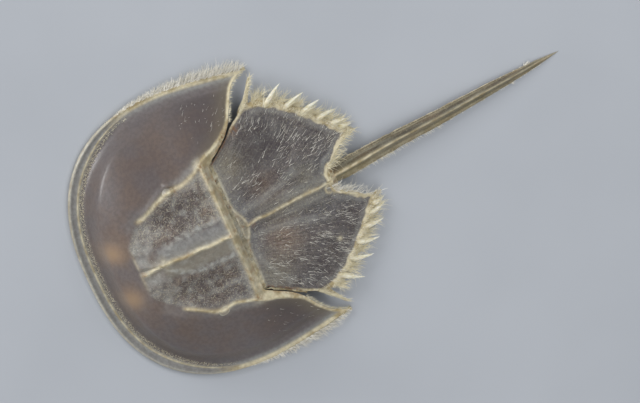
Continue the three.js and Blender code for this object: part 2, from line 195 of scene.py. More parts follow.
HEAD_OUTLINE = Line([(0, 0), (1, 1)]).set(head_outline_points())
CHEEK_EDGE = Line([
    (HINGE_HALF, HINGE_Y), (14.5, -12.72), (15.55, -11.12), (16.95, -9.05), (18.6, -7.42), (20.3, -6.3),
    (22.6, -5), (25, -3.3), (26.2, -1.6), CHEEK_TIP,
])
HEAD_REAR = Line([(0, 0), (1, 1)]).set(np.vstack([[0, HINGE_Y], CHEEK_EDGE.points]))
PLATE_OUTLINE = Line([
    (12.7, PLATE_FRONT_Y), (14.12, -12.42), (16.75, -8.62), (18.15, -7.0), (19.25, -5.2), (20.4, -3),
    (20.7, -0.8), (20, 1.8), (16.1, 6.7), (11.4, 11.1), (8.1, 14.2), (6.8, PLATE_REAR_Y),
])
NOTCH = Line([
    (0, NOTCH_Y), (1.6, NOTCH_Y + 0.1), (2.6, 8), (3.1, 9), (4.1, 10.25), (5.6, 11.8), (6.3, 13.2),
    (6.55, 14.4), (6.8, PLATE_REAR_Y),
])
EYE_RIDGE = Line([
    (9.0, -32), (10.15, -30), (11.15, -28), (12.25, -26), (13.2, -24), (13.5, -22), (13.4, -20),
    (14, -18), (14.7, -16), (15.7, -14), (16.5, -11.2), (17.8, -9.2), (18.9, -7.6), (20.5, -6.45),
    (22.7, -5.25), (25, -3.6), (26.3, -1.8),
])
HINGE_RIDGE = Line([(0, -14.9), (7, -15), (14.6, -15.4)])
BROW = Line([(0.6, -34.6), (4, -34.6), (7.2, -33.8), (9.0, -32)])
HEART_EDGE = Line([(1.2, -29.3), (2.4, -27.5), (3.3, -25), (3.9, -22), (4.1, -15.2)])
PLATE_FRONT_RIDGE = Line([(0, -13.0), (7, -13.0), (13.1, -13.2)])
PLATE_ARCH = Line([(0, -11.4), (1.6, -11.8), (3.7, -12.8), (6, -13.1)])
NOTCH_RIDGE = Line([(0, 6.6), (1.8, 6.8), (3.2, 8), (4.6, 10.2), (5.9, 12.2), (6.7, 14.6)])
PLATE_FURROW = Line([(2.6, -12.2), (3.1, -8), (4, -3), (5.4, 1)])
PLATE_VEIN = Line([(4.2, -12.7), (8, -11.6), (12, -10), (15, -8)])
PLATE_CUP = (1.45, 6.1)  # small pouch beside the plate's keel, just ahead of the tail's root
PLATE_FLAKE = (-1.6, -13.1)


def wander(y, seed):
    """Small sideways wander of a ridge that grew by hand's breadth, in millimetres."""
    return 0.14 * mottle(y, y * 0, 2.6, seed)


def keel_distance(x, y):
    """Distance to the head's keel, whose front end turns a little to the animal's left."""
    sway = 0.75 * smoothstep(-y, 29.5, 34) + wander(y, 31)
    return np.hypot(x - sway, np.maximum(-34 - y, 0) + np.maximum(y + 14.3, 0))


def plate_keel_distance(x, y):
    sway = 0.2 * smoothstep(y, 0, 7) + wander(y, 33)
    return np.hypot(x - sway, np.maximum(-11.6 - y, 0) + np.maximum(y - 7.4, 0))


def right_shift(x, y):
    """How much closer to the midline the right eye ridge runs than the left one, in millimetres."""
    return 0.6 * (x < 0) * smoothstep(-y, 14.5, 18) * smoothstep(y, -33, -29)


def eye_ridge_near(x, y):
    """Distance to the eye ridge, and the share of its length at the nearest point. Beside the eyes, the
    ridge of either side bulges a little to the left."""
    return EYE_RIDGE.near(x - 0.35 * bump(y + 23.5, 2.5) - right_shift(x, y), y)


def eye_ridge_start(x, share):
    """From 0 at the eye ridge's front end to 1 along it. The left ridge starts a little later."""
    late = 0.05 * (x > 0)
    return smoothstep(share, late, late + 0.05)


def rim_width(y):
    return RIM_FRONT + (RIM_SIDE - RIM_FRONT) * smoothstep(y, -38, -24)


def at_side(y):
    """From 0 where the rim has its channel, at the front, to 1 where it is one soft bead, at the side."""
    return smoothstep(y, -31, -23)


def rim_height(distance, width, y):
    """Rolled rim in section: an outer bead, and in front also a channel and a fine inner line."""
    across = distance / width * RIM_FRONT
    inner_line = 0.25 * bump(across - 1.95, 0.25) * (1 - at_side(y))
    soft_bead = (0.1 * bump(across - 1.3, 0.7) + 0.3 * smoothstep(across, 0.8, 4.5)) * at_side(y)
    return RIM_HEIGHT + (0.4 - 0.2 * at_side(y)) * bump(across - 0.5, 0.4) + inner_line + soft_bead


def head_dome(x, y):
    side = (np.abs(x) / HALF_WIDTH) ** FRONT_ROUNDNESS
    front = (np.maximum(WIDEST_Y - y, 0) / (WIDEST_Y - FRONT_Y)) ** FRONT_ROUNDNESS
    ahead = y < WIDEST_Y
    rounded = np.minimum((side + front) ** (1 / FRONT_ROUNDNESS), 1)
    reach = np.where(ahead, rounded, np.abs(x) / head_half_width(y))
    front_share = np.where(ahead, front / np.maximum(side + front, 1e-9), 0)
    power = DOME_POWER_SIDE + (DOME_POWER_FRONT - DOME_POWER_SIDE) * front_share
    rear = np.clip((y - HINGE_Y) / (CHEEK_TIP[1] - HINGE_Y), 0, 1)
    return DOME_HEIGHT * (1 - np.minimum(reach, 1) ** power) * (1 - REAR_FALL * rear)


def head_base(x, y):
    """Head shield's upper surface without its ridges, and the distance from its margin."""
    shallow = 1 - 0.5 * smoothstep(y, WIDEST_Y, HINGE_Y)
    depth = FURROW_DEPTH * smoothstep(y, -35, -31) * shallow
    dome = head_dome(x, y) - depth * bump(np.abs(x) - FURROW_X, FURROW_SPREAD)
    margin = HEAD_OUTLINE.near(x, y)[0]
    width = rim_width(y)
    low = rim_height(margin, width, y)
    start = width * (1 - 0.45 * at_side(y))
    z = low + (dome - low) * smoothstep(margin, start, width + RIM_RISE)
    lip = 1 - smoothstep(HEAD_REAR.near(x, y)[0], 0, REAR_LIP_WIDTH)
    return z - REAR_LIP_DROP * lip * np.clip(z / DOME_HEIGHT, 0, 1), margin


def ridge_on(line, x, y, half_width, height, fade=0.08):
    """Height of a rounded ridge along a line, which fades out at the line's ends."""
    distance, share = line.near(x, y)
    ends = smoothstep(share, 0, fade) * smoothstep(1 - share, 0, fade)
    return height * bump(distance, half_width) * (0.25 + 0.75 * ends)


def eye_reach(x, y):
    """Distance from the middle of a compound eye, in the eye's own radii."""
    side = np.sign(x)
    dx = np.abs(x) - EYE_X - EYE_SKEW[0] * side
    dy = y - EYE_Y - EYE_SKEW[1] * side
    across = math.cos(EYE_TURN) * dx + math.sin(EYE_TURN) * dy
    along = -math.sin(EYE_TURN) * dx + math.cos(EYE_TURN) * dy
    return np.hypot(across / EYE_RADII[0], along / EYE_RADII[1])


def on_crown(x, y):
    """1 over the wrinkled middle of the head, between the eye ridges and behind the brow."""
    ridge_x = np.interp(y, (-34.6, -32, -28, -24, -20, -15), (6, 9, 11.2, 13.2, 13.4, 15))
    inside = smoothstep(ridge_x - np.abs(x) - right_shift(x, y), 0, 1)
    return inside * smoothstep(y, -35.2, -34) * smoothstep(-y, 15, 15.6)


def head_relief(x, y):
    """Ridges, eyes and wrinkles that stand on the head shield's upper surface."""
    distance, share = eye_ridge_near(x, y)
    by_eye = bump(y + 23.3, 1.6)
    ridge = (0.46 - 0.15 * smoothstep(share, 0.55, 0.7)) * bump(distance, 0.42 + 0.16 * by_eye)
    eye = EYE_RADII[2] * np.clip(1 - eye_reach(x, y) ** 2, 0, 1)
    wrinkles = 0.14 * on_crown(x, y) * (mottle(x, y, 1.5, 3) + 0.5 * mottle(x, y, 0.6, 7))
    knobbed = 1 + 0.25 * mottle(x * 0, y, 1.3, 35)
    keel = 0.6 * bump(keel_distance(x, y), 0.45) * knobbed * (1 - 0.4 * smoothstep(-y, 30, 33.5))
    eyelets = 0.3 * bump(np.hypot(x, (y + 29.4) * 1.3), 0.8)
    thorn = 0.3 * bump(np.hypot(x - 0.75, y + 34.1), 0.6)
    corner = 0.45 * bump(np.hypot(np.abs(x) - 14.5, y + 15.3), 0.9)
    return (
        keel + ridge * eye_ridge_start(x, share) + eye + eyelets + thorn + corner + wrinkles
        + ridge_on(HINGE_RIDGE, x, y, 0.35, 0.42, 0.02)
        + ridge_on(BROW, x, y, 0.5, 0.14)
        + ridge_on(HEART_EDGE, x, y, 0.5, 0.1)
        + 0.03 * mottle(x, y, 6, 1)
    )


def head_top(x, y):
    base, margin = head_base(x, y)
    return base + head_relief(x, y) * smoothstep(margin, rim_width(y), rim_width(y) + 1)


def socket_pads(x, y):
    """Raised pads of the abdomen plate round the roots of its loose spines, from 0 to 1."""
    pads = np.zeros(np.shape(x))
    for root, tip in LOOSE_SPINES:
        away = np.subtract(tip, root) / np.linalg.norm(np.subtract(tip, root))
        centre = np.array(root) + 0.2 * away
        pads = np.maximum(pads, bump(np.hypot(np.abs(x) - centre[0], y - centre[1]), 1.5))
    return pads


def plate_base(x, y):
    """Abdomen plate's upper surface without its ridges, and the distance from its margin."""
    back = np.clip((y - PLATE_FRONT_Y) / (PLATE_REAR_Y - PLATE_FRONT_Y), 0, 1)
    half = PLATE_HALF_FRONT + (PLATE_HALF_REAR - PLATE_HALF_FRONT) * back**PLATE_HALF_POWER
    vault = PLATE_RISE * (1 - back**PLATE_FALL) * (1 - (x / half) ** 2)
    furrow = 0.5 * bump(np.abs(x) - 4.2, 1.5) * (1 - back)
    tuck = PLATE_TUCK_SLOPE * np.maximum(0, PLATE_TUCK_Y - y)
    margin = PLATE_OUTLINE.near(x, y)[0]
    bead = 0.3 * bump(margin - 0.7, 0.5) * smoothstep(y, -8, -5)
    return PLATE_EDGE + vault - furrow - tuck + bead, margin


def felt_width(x, y):
    """Width of the cream band of felted bristle roots along the plate's margin."""
    behind_lobe = smoothstep(y, -4.5, -1)
    return behind_lobe * (0.75 + 0.75 * socket_pads(x, y) + 0.2 * mottle(x, y, 1.2, 14))


def cup_reach(x, y):
    return np.hypot(x - PLATE_CUP[0], y - PLATE_CUP[1])


def plate_relief(x, y):
    knobbed = 1 + 0.25 * mottle(x * 0, y, 1.3, 37)
    keel = 0.55 * bump(plate_keel_distance(x, y), 0.4) * knobbed
    margin = PLATE_OUTLINE.near(x, y)[0]
    felt = 1 - smoothstep(margin, felt_width(x, y), felt_width(x, y) + 0.5)
    lumps = felt * (0.16 + 0.14 * mottle(x, y, 0.55, 16))
    cup = 0.22 * bump(cup_reach(x, y) - 0.75, 0.22) * smoothstep(-y, -6.5, -6.1)
    return (
        keel + lumps + cup
        + ridge_on(PLATE_FRONT_RIDGE, x, y, 0.4, 0.25, 0.02)
        + ridge_on(PLATE_ARCH, x, y, 0.35, 0.28, 0.02)
        + ridge_on(NOTCH_RIDGE, x, y, 0.45, 0.42, 0.02)
        + 0.3 * bump(np.hypot(x, y + 11), 0.8)
        + 0.2 * bump(np.hypot(x - PLATE_FLAKE[0], y - PLATE_FLAKE[1]), 0.3)
        + 0.28 * socket_pads(x, y)
        + 0.05 * mottle(x, y, 0.9, 5) + 0.05 * mottle(x, y, 5, 9)
    )


def plate_top(x, y):
    return plate_base(x, y)[0] + plate_relief(x, y)


# Mesh helpers

def alone(obj):
    bpy.ops.object.select_all(action="DESELECT")
    obj.select_set(True)
    bpy.context.view_layer.objects.active = obj


def in_edit_mode(obj, *steps):
    """Runs each step on all of the mesh, in edit mode."""
    alone(obj)
    bpy.ops.object.mode_set(mode="EDIT")
    bpy.ops.mesh.select_all(action="SELECT")
    for step, settings in steps:
        step(**settings)
    bpy.ops.object.mode_set(mode="OBJECT")


def points_of(obj):
    flat = np.empty(len(obj.data.vertices) * 3)
    obj.data.vertices.foreach_get("co", flat)
    return flat.reshape(-1, 3)


def move_points(obj, points):
    obj.data.vertices.foreach_set("co", np.ravel(points))
    obj.data.update()


def sheet(name, across, along, place):
    """Grid whose points are moved to place(u, v), where u and v run from 0 to 1."""
    bpy.ops.object.select_all(action="DESELECT")
    bpy.ops.mesh.primitive_grid_add(x_subdivisions=across, y_subdivisions=along, size=1)
    obj = bpy.context.object
    obj.name = name
    u, v = points_of(obj)[:, 0] + 0.5, points_of(obj)[:, 1] + 0.5
    move_points(obj, part(place(u, v)))
    in_edit_mode(obj, (bpy.ops.mesh.remove_doubles, {"threshold": 1e-6}))
    return obj


def face_up(obj):
    """Turns an open sheet's faces so that most of them look up."""
    if sum(p.normal.z * p.area for p in obj.data.polygons) < 0:
        in_edit_mode(obj, (bpy.ops.mesh.flip_normals, {}))


def modify(obj, kind, **settings):
    alone(obj)
    modifier = obj.modifiers.new(kind.title(), kind)
    for key, value in settings.items():
        setattr(modifier, key, value)
    bpy.ops.object.modifier_apply(modifier=modifier.name)


def thicken(obj, wall, **settings):
    """Turns an open sheet's faces up and gives it a wall below them, in millimetres."""
    face_up(obj)
    modify(obj, "SOLIDIFY", thickness=wall * MM, offset=-1, **settings)


def smooth(obj):
    """Shades faces that meet at less than 50 degrees as one surface."""
    alone(obj)
    bpy.ops.object.shade_smooth_by_angle(angle=math.radians(50))


def paint(obj, **masks):
    """Stores each mask as an attribute of the mesh's points, from 0 to 1."""
    for name, values in masks.items():
        layer = obj.data.attributes.new(name, "FLOAT", "POINT")
        layer.data.foreach_set("value", np.clip(values, 0, 1).astype(np.float32))


def plan_of(obj):
    points = points_of(obj) / MM
    return points[:, 0], points[:, 1] - PLAN_SHIFT


def finish_piece(obj, material, slot, *nodes):
    obj.data.materials.clear()
    obj.data.materials.append(material)
    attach(obj, "root")
    if nodes:
        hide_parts(*nodes)


CUTICLE_MASKS = ("cream", "frost", "warm", "tan", "stain", "speck", "olive", "crease", "dusk")


def finish_skin(obj, material, slot, *nodes, **masks):
    """Finishes a piece of dried cuticle. A mask that isn't given is zero all over."""
    zero = np.zeros(len(obj.data.vertices))
    paint(obj, **{name: zero + masks.get(name, 0) for name in CUTICLE_MASKS})
    smooth(obj)
    finish_piece(obj, material, slot, *nodes)


# Materials

NODES = {  # Blender's name, the output that is used, the inputs in the order given, and fixed settings
    "mask": ("ShaderNodeAttribute", "Fac", (), {}),
    "fan": ("ShaderNodeAttribute", "Vector", (), {"attribute_name": "fan"}),
    "place": ("ShaderNodeTexCoord", "Object", (), {}),
    "scaled": ("ShaderNodeMapping", 0, ("Vector", "Scale"), {}),
    "noise": ("ShaderNodeTexNoise", 0, ("Vector", "Scale", "Detail", "Roughness"), {}),
    "remap": ("ShaderNodeMapRange", 0, (0, 1, 2, 3, 4), {"interpolation_type": "SMOOTHSTEP"}),
    "blend": ("ShaderNodeMix", 2, (0, 6, 7), {"data_type": "RGBA"}),
    "times": ("ShaderNodeMath", 0, (0, 1), {"operation": "MULTIPLY", "use_clamp": True}),
    "less": ("ShaderNodeMath", 0, (0, 1), {"operation": "SUBTRACT", "use_clamp": True}),
    "bump": ("ShaderNodeBump", 0, ("Height", "Strength", "Distance", "Normal"), {}),
    "surface": ("ShaderNodeBsdfPrincipled", 0, (), {}),
    "output": ("ShaderNodeOutputMaterial", None, ("Surface",), {}),
}


def colour(text):
    """Linear colour of an sRGB hex value."""
    parts = [int(text[i : i + 2], 16) / 255 for i in (1, 3, 5)]
    return [p / 12.92 if p < 0.04045 else ((p + 0.055) / 1.055) ** 2.4 for p in parts] + [1]


def add(tree, kind, *inputs, by_name=(), **settings):
    """Adds a node with its settings, and gives the output that is used. Each input is a value or a link."""
    name, output, order, fixed = NODES[kind]
    node = tree.nodes.new(name)
    for key, value in {**fixed, **settings}.items():
        setattr(node, key, value)
    for key, value in [*zip(order, inputs), *dict(by_name).items()]:
        if isinstance(value, bpy.types.NodeSocket):
            tree.links.new(value, node.inputs[key])
        else:
            node.inputs[key].default_value = value
    return None if output is None else node.outputs[output]


def new_material(name):
    material = bpy.data.materials.new(name)
    material.use_nodes = True
    material.node_tree.nodes.clear()
    return material, material.node_tree


def grain(tree, size, detail=3.0, roughness=0.55, stretch=(1, 1, 1)):
    """Noise on Object coordinates with patches of about size millimetres."""
    scaled = add(tree, "scaled", add(tree, "place"), [s / (size * MM) for s in stretch])
    return add(tree, "noise", scaled, 1.0, detail, roughness)


def dried_cuticle(name, cool, warm, shadow, streaked=False):
    """Thin chitin skin, dried: a horny grey-brown film, satin on top, with light caught inside it and
    lime-stiffened ridges of a dull cream. Its blotches are 2 to 6 mm wide and its creases run about 1 mm
    apart. Its pores are drawn at 0.25 mm, twice as wide as the real ones, so that they break up its gloss.
    Streaks, where it has them, are 0.25 mm wide and follow the fan."""
    material, tree = new_material(name)
    at = {word: add(tree, "mask", attribute_name=word) for word in CUTICLE_MASKS}
    blotches = add(tree, "remap", grain(tree, 5.0), 0.32, 0.68, 0.4, 1.0)
    fine = add(tree, "remap", grain(tree, 0.7, 5.0), 0.3, 0.7)
    flecks = add(tree, "remap", grain(tree, 0.28, 3.0, 0.7), 0.5, 0.68)
    crinkle = add(tree, "remap", grain(tree, 1.1, 5.0, 0.66), 0.44, 0.6)
    off_middle = add(tree, "less", grain(tree, 1.7, 4.0, 0.6, (1, 0.6, 1)), 0.5)
    creases = add(tree, "remap", off_middle, 0.0, 0.03, 1.0, 0.0)
    creases = add(tree, "times", creases, add(tree, "remap", off_middle, 0.0, 0.001))
    yellowed = add(tree, "remap", grain(tree, 2.2), 0.38, 0.68)
    stained = add(tree, "remap", grain(tree, 0.6, 4.0), 0.35, 0.6)
    layers = [
        (add(tree, "times", at["warm"], blotches), colour(warm)),
        (add(tree, "remap", fine, 0.0, 1.0, 0.0, 0.3), colour(shadow)),
        (add(tree, "times", crinkle, add(tree, "remap", at["crease"], 0.0, 1.0, 0.0, 0.7)), colour(shadow)),
        (add(tree, "times", at["dusk"], 0.85), colour(shadow)),
        (add(tree, "times", at["tan"], 0.7), colour("#a58a6c")),
        (add(tree, "times", at["olive"], 0.85), colour("#8a8062")),
    ]
    if streaked:
        streaks = add(tree, "noise", add(tree, "fan"), 1.0, 4.0, 0.6)
        layers += [
            (add(tree, "remap", streaks, 0.52, 0.34, 0.0, 0.55), colour(shadow)),
            (add(tree, "remap", streaks, 0.5, 0.68, 0.0, 0.24), colour("#8f8a86")),
        ]
    cream = add(tree, "blend", yellowed, colour("#d8ceb0"), colour("#ab9b76"))
    layers += [
        (add(tree, "times", at["frost"], add(tree, "remap", fine, 0.0, 1.0, 1.0, 0.7)), colour("#aeb0aa")),
        (add(tree, "times", add(tree, "times", at["crease"], creases), 0.5), colour("#b3b3aa")),
        (add(tree, "times", at["speck"], flecks), colour("#d3caaa")),
        (add(tree, "times", at["cream"], add(tree, "remap", fine, 0.0, 1.0, 1.15, 0.85)), cream),
        (add(tree, "times", at["stain"], stained), colour("#7d5328")),
    ]
    skin = colour(cool)
    for share, tone in layers:
        skin = add(tree, "blend", share, skin, tone)
    pores = add(tree, "bump", grain(tree, 0.25, 3.0), 0.7, 0.05 * MM)
    folds = add(tree, "bump", add(tree, "times", crinkle, at["crease"]), 0.5, 0.12 * MM, pores)
    gloss = add(tree, "remap", at["crease"], 0.0, 1.0, 0.35, 0.5)
    add(tree, "output", add(tree, "surface", by_name={
        "Base Color": skin, "Roughness": gloss, "IOR": 1.54, "Specular IOR Level": 0.4, "Normal": folds,
        "Subsurface Weight": 0.15, "Subsurface Radius": [1.0, 0.75, 0.55], "Subsurface Scale": 0.6 * MM,
    }))
    return material


def spine_horn(name):
    """Horny spine, dried: ivory, waxy and half clear, a little browner and duller at the root."""
    material, tree = new_material(name)
    streaks = add(tree, "remap", grain(tree, 0.35, 3.0, 0.5, (1, 0.3, 1)), 0.35, 0.7)
    at_root = add(tree, "times", add(tree, "mask", attribute_name="root"), 0.5)
    tone = add(tree, "blend", streaks, colour("#f4f1e2"), colour("#dad2b2"))
    tone = add(tree, "blend", at_root, tone, colour("#b5a578"))
    gloss = add(tree, "remap", streaks, 0.0, 1.0, 0.28, 0.42)
    ribs = add(tree, "bump", streaks, 0.4, 0.04 * MM)
    add(tree, "output", add(tree, "surface", by_name={
        "Base Color": tone, "Roughness": gloss, "IOR": 1.54, "Normal": ribs,
        "Subsurface Weight": 0.35, "Subsurface Radius": [1.0, 0.85, 0.6], "Subsurface Scale": 0.6 * MM,
    }))
    return material


def bristle_chitin(name, light, dark, roughness):
    """Fine hollow bristles of chitin: dull white to straw, each of its own tone, with no sharp gloss."""
    material, tree = new_material(name)
    patches = add(tree, "remap", grain(tree, 0.5), 0.4, 0.7, 0.0, 0.4)
    tone = add(tree, "blend", add(tree, "mask", attribute_name="tone"), colour(light), colour(dark))
    tone = add(tree, "blend", patches, tone, colour(dark))
    surface = {"Base Color": tone, "Roughness": roughness, "IOR": 1.54}
    add(tree, "output", add(tree, "surface", by_name=surface))
    return material


HEAD_CUTICLE = dried_cuticle("head_cuticle_dried", "#6d6a6c", "#75665c", "#494141")
PLATE_CUTICLE = dried_cuticle("abdomen_cuticle_dried", "#5a585c", "#6a554e", "#342d31", streaked=True)
TAIL_CUTICLE = dried_cuticle("tail_cuticle_dried", "#5b554c", "#585036", "#2f291d")
SPINE_HORN = spine_horn("edge_spine_horn")
WHITE_BRISTLE = bristle_chitin("bristle_chitin_white", "#f6f3ea", "#cfcabb", 0.5)
GREY_BRISTLE = bristle_chitin("bristle_chitin_grey", "#dedbd1", "#938e86", 0.5)
STRAW_BRISTLE = bristle_chitin("bristle_chitin_straw", "#f3edd8", "#d2c8a4", 0.55)


# Head shield

RIM_SECTION = Line([
    (3.6, 1.0), (2.6, 0.42), (1.6, 0.08), (0.8, 0.0), (0.35, 0.05), (0.08, 0.3), (0.0, 0.62),
    (0.1, 1.0), (0.3, 1.25), (0.5, 1.34),
])
RIM_SHARE = 0.2  # of the sheet's rows, for the rolled edge and the fold beneath it
NEAR_RIM_SHARE = 0.16  # for the channel and the inner line
HINGE_SHARE = 0.56
COLUMN_BOW = 0.4


def head_place(u, v):
    """Point of the head shield: u runs round the rim, v from the fold beneath it to the rear edge."""
    side = np.where(u < 0.5, -1.0, 1.0)
    half = np.abs(2 * u - 1)
    ahead = np.minimum(half / HINGE_SHARE, 1)
    cheek = np.clip((half - HINGE_SHARE) / (1 - HINGE_SHARE), 0, 1)
    outer = HEAD_OUTLINE.at(half)
    hinge = np.stack([HINGE_HALF * ahead, np.full(len(u), HINGE_Y)], -1)
    inner = np.where((cheek > 0)[:, None], CHEEK_EDGE.at(cheek), hinge)
    length = np.linalg.norm(inner - outer, axis=1)
    way = HEAD_OUTLINE.along(half)
    inward = np.stack([-way[:, 1], way[:, 0]], -1)
    bend = outer + inward * (COLUMN_BOW * length)[:, None]
    width = np.minimum(rim_width(outer[:, 1]), 0.3 * length)
    rolled = RIM_SECTION.at(np.clip(v / RIM_SHARE, 0, 1))
    first, last = 0.5 / RIM_FRONT * width, 1.25 * width
    near = first + (last - first) * np.clip((v - RIM_SHARE) / NEAR_RIM_SHARE, 0, 1)
    rest = np.clip((v - RIM_SHARE - NEAR_RIM_SHARE) / (1 - RIM_SHARE - NEAR_RIM_SHARE), 0, 1)
    distance = np.where(rest > 0, last + (length - last) * rest, near)
    distance = np.where(v < RIM_SHARE, rolled[:, 0] / RIM_FRONT * width, distance)
    t = np.clip(distance / np.maximum(length, 1e-6), 0, 1)
    # A column leaves along the rim's normal, so its share is eased to keep the spacing even
    t = t[:, None]
    plan = (1 - t) ** 2 * outer + 2 * t * (1 - t) * bend + t**2 * inner
    fine = np.where(v < RIM_SHARE, 1, 0)[:, None]
    straight = outer + inward * distance[:, None]
    plan = fine * straight + (1 - fine) * plan
    z = np.where(v < RIM_SHARE, rolled[:, 1], head_top(plan[:, 0], plan[:, 1]))
    return np.column_stack([side * plan[:, 0], plan[:, 1], z])


def spot(x, y, centre, radius):
    """Soft round spot on one side only."""
    return bump(np.hypot(x - centre[0], y - centre[1]), radius)


def twin_spot(x, y, centre, radius):
    """The same soft spot on both sides."""
    return spot(np.abs(x), y, centre, radius)


def spots(x, y, *rows):
    """The strongest of a few soft spots. A row holds a spot's strength, its place and its radius."""
    return most([strength * spot(x, y, centre, radius) for strength, *centre, radius in rows])


def head_masks(x, y):
    margin = HEAD_OUTLINE.near(x, y)[0]
    across = margin / rim_width(y) * RIM_FRONT
    outer_line = 0.45 * bump(across - 0.15, 0.3)
    inner_line = 0.75 * bump(across - 1.95, 0.24)
    soft_band = 0.95 * (1 - smoothstep(across, 1.1, 2.3))
    rim = np.maximum(outer_line, inner_line) * (1 - at_side(y)) + soft_band * at_side(y)
    channel = (0.62 - 0.25 * bump(across - 1.15, 0.5)) * (1 - smoothstep(across, 2.1, 2.5))
    ridge, along_ridge = eye_ridge_near(x, y)
    ridge_half = 0.42 + 0.16 * bump(y + 23.0, 1.8) - 0.1 * smoothstep(along_ridge, 0.5, 0.7)
    hinge = HINGE_RIDGE.near(x, y)[0]
    keel = keel_distance(x, y)
    rear = HEAD_REAR.near(x, y)[0]
    strip_width = np.interp(y, (-15.4, -14, -11, -9, -7.3, 0), (1.5, 1.6, 1.2, 0.9, 0.45, 0.4))
    strip = 1 - smoothstep(rear, strip_width, strip_width + 0.3)
    cheek_end = smoothstep(y, -8.2, -6.8)
    at_corner = smoothstep(np.abs(x), 13.4, 14.6)
    torn = smoothstep(mottle(x, y, 1.0, 75), -0.5, 0.4)
    cream = most([
        rim, 0.95 * bump(keel, 0.42), 0.8 * bump(hinge, 0.5),
        bump(ridge, ridge_half) * eye_ridge_start(x, along_ridge),
        (1 - smoothstep(rear, 0.3, 0.55)) * cheek_end,
        0.9 * twin_spot(x, y, (14.6, -15.2), 1.2),
        0.35 * bump(BROW.near(x, y)[0], 0.3) * smoothstep(-np.abs(x), -5, -2),
        0.55 * bump(np.hypot(x, (y + 29.4) * 2.2), 1.3),
        0.8 * strip * (x > 0) * at_corner, 0.5 * strip * (x < 0) * at_corner,
        0.75 * strip * smoothstep(x, 5, 12) * (0.6 + 0.4 * torn),
        0.4 * (1 - smoothstep(rear, 0.1, 0.4)) * (np.abs(x) < 13.6) * torn,
        0.25 * strip * (np.abs(x) < 13.6) * (1 - torn),
    ])
    heart = HEART_EDGE.near(x, y)[0] + 0.45 * mottle(x, y, 0.8, 81)
    crown = on_crown(x, y)
    inside_heart = (1 - smoothstep(np.abs(x), 2.5, 4)) * crown * smoothstep(y, -31, -29)
    haze = crown * (1 - smoothstep(y, -32.5, -27.5))
    beside_ridge = bump(ridge - 0.9, 0.8) * smoothstep(-y, 15, 17)
    frost = most([
        0.75 * bump(heart, 0.65) * (0.75 + 0.5 * mottle(x, y, 0.9, 61)),
        0.5 * haze * (0.8 + 0.6 * mottle(x, y, 1.8, 67)),
        0.4 * crown * smoothstep(mottle(x, y, 1.7, 4), -0.1, 0.9),
        0.35 * beside_ridge * (0.3 + 0.7 * smoothstep(y, -26, -17)), (0.15 + 0.2 * (x < 0)) * inside_heart,
        0.5 * spot(x, y, (7.2, -27), 0.6), channel * (1 - at_side(y)),
        0.5 * bump(across - 2.2, 1.0) * at_side(y), 0.4 * bump(hinge - 0.9, 0.8) * (y < -14.8),
        # The hinge strip's frost is partly painted light, which offsets the shade it gets from facing back,
        # away from the lamps.
        0.3 * strip * (1 - at_corner) * smoothstep(mottle(x, y, 1.4, 77), -0.4, 0.6),
    ])
    side_middle = np.exp(-(((np.abs(x) - 8.2) / 3.0) ** 2) - ((y + 23.5) / 5.0) ** 2)
    hinge_band = strip * (1 - at_corner)
    # Darker towards the back, towards both flanks and on the cheeks: partly the shell's own darker tone,
    # partly painted shade. The band on the steep rise just inside the front rim is painted shade. The
    # patches in the hinge band are its own dark cracks.
    dusk = most([
        0.7 * side_middle, 0.8 * smoothstep(y, -26, -9) * (1 - crown) * (margin > 3) * (1 - strip),
        0.85 * hinge_band * smoothstep(mottle(x, y, 0.7, 69), 0.1, 0.5),
        0.25 * inside_heart * (x > 0), 0.3 * bump(np.abs(across - 3.6), 0.5) * (1 - at_side(y)),
        0.22 * smoothstep(x, 4, 18) * (1 - crown), 0.34 * smoothstep(-x, 8, 18) * (1 - crown),
        0.6 * spot(x, y, (-18, -26), 9) * (1 - crown), spot(x, y, (19, -10), 7) * (1 - strip),
    ]) * smoothstep(margin, 2, 4)
    warm = 1 - 0.8 * inside_heart - 0.4 * bump(ridge, 1.8) - 0.85 * bump(margin, 5.0)
    # The hinge band's tan is partly painted light, which offsets its shade from facing back. The spots
    # ahead are the shell's own tan blotches.
    tan = np.maximum(twin_spot(x, y, (5.1, -38.2), 2.2), 0.35 * hinge_band * torn)
    slit = smoothstep(y, -13.0, -12.0) * (1 - smoothstep(rear, 0.1, 0.5)) * (1 - smoothstep(y, -8, -6))
    stain = most([
        0.75 * twin_spot(x, y, (14.4, -15.3), 0.65), 0.6 * slit,
        spots(x, y, (0.8, -17.6, -8.9, 1.1), (0.4, 17.4, -8.9, 0.8)) * strip,
        spots(x, y, (0.6, -12.6, -22.3, 0.9), (0.45, 13.9, -22.2, 0.7)),
        spots(x, y, (0.7, 0.75, -34.1, 0.55), (0.5, 19.9, -31, 0.3)),
        0.3 * bump(ridge, 0.3) * bump(y + 19.5, 2.5) * (x < 0),
        0.6 * bump(keel, 0.5) * bump(y + 15.2, 0.8), 0.4 * bump(keel, 0.45) * bump(y + 24.5, 1.6),
        0.4 * strip * (np.abs(x) < 13) * smoothstep(mottle(x, y, 1.2, 41), 0, 0.6),
    ])
    speck = np.maximum(
        0.9 * bump(across - 2.7, 0.5) * (1 - at_side(y)), 0.4 * crown * smoothstep(np.abs(x), 3, 5)
    )
    crease = crown * (0.35 + 0.65 * smoothstep(np.abs(x), 2, 4.5))
    # The hinge strip's olive is its own tone, laid on more strongly as painted light that offsets the shade
    # it gets from facing back.
    olive = most([
        strip * (0.8 + 0.2 * at_corner), 0.4 * bump(rear, 2.6) * (y > -15),
        0.45 * inside_heart * (x > 0), 0.3 * bump(keel, 1.5) * crown,
    ])
    return {
        "cream": cream, "frost": frost, "warm": warm, "tan": tan, "stain": stain, "speck": speck,
        "olive": olive, "crease": crease, "dusk": dusk,
    }


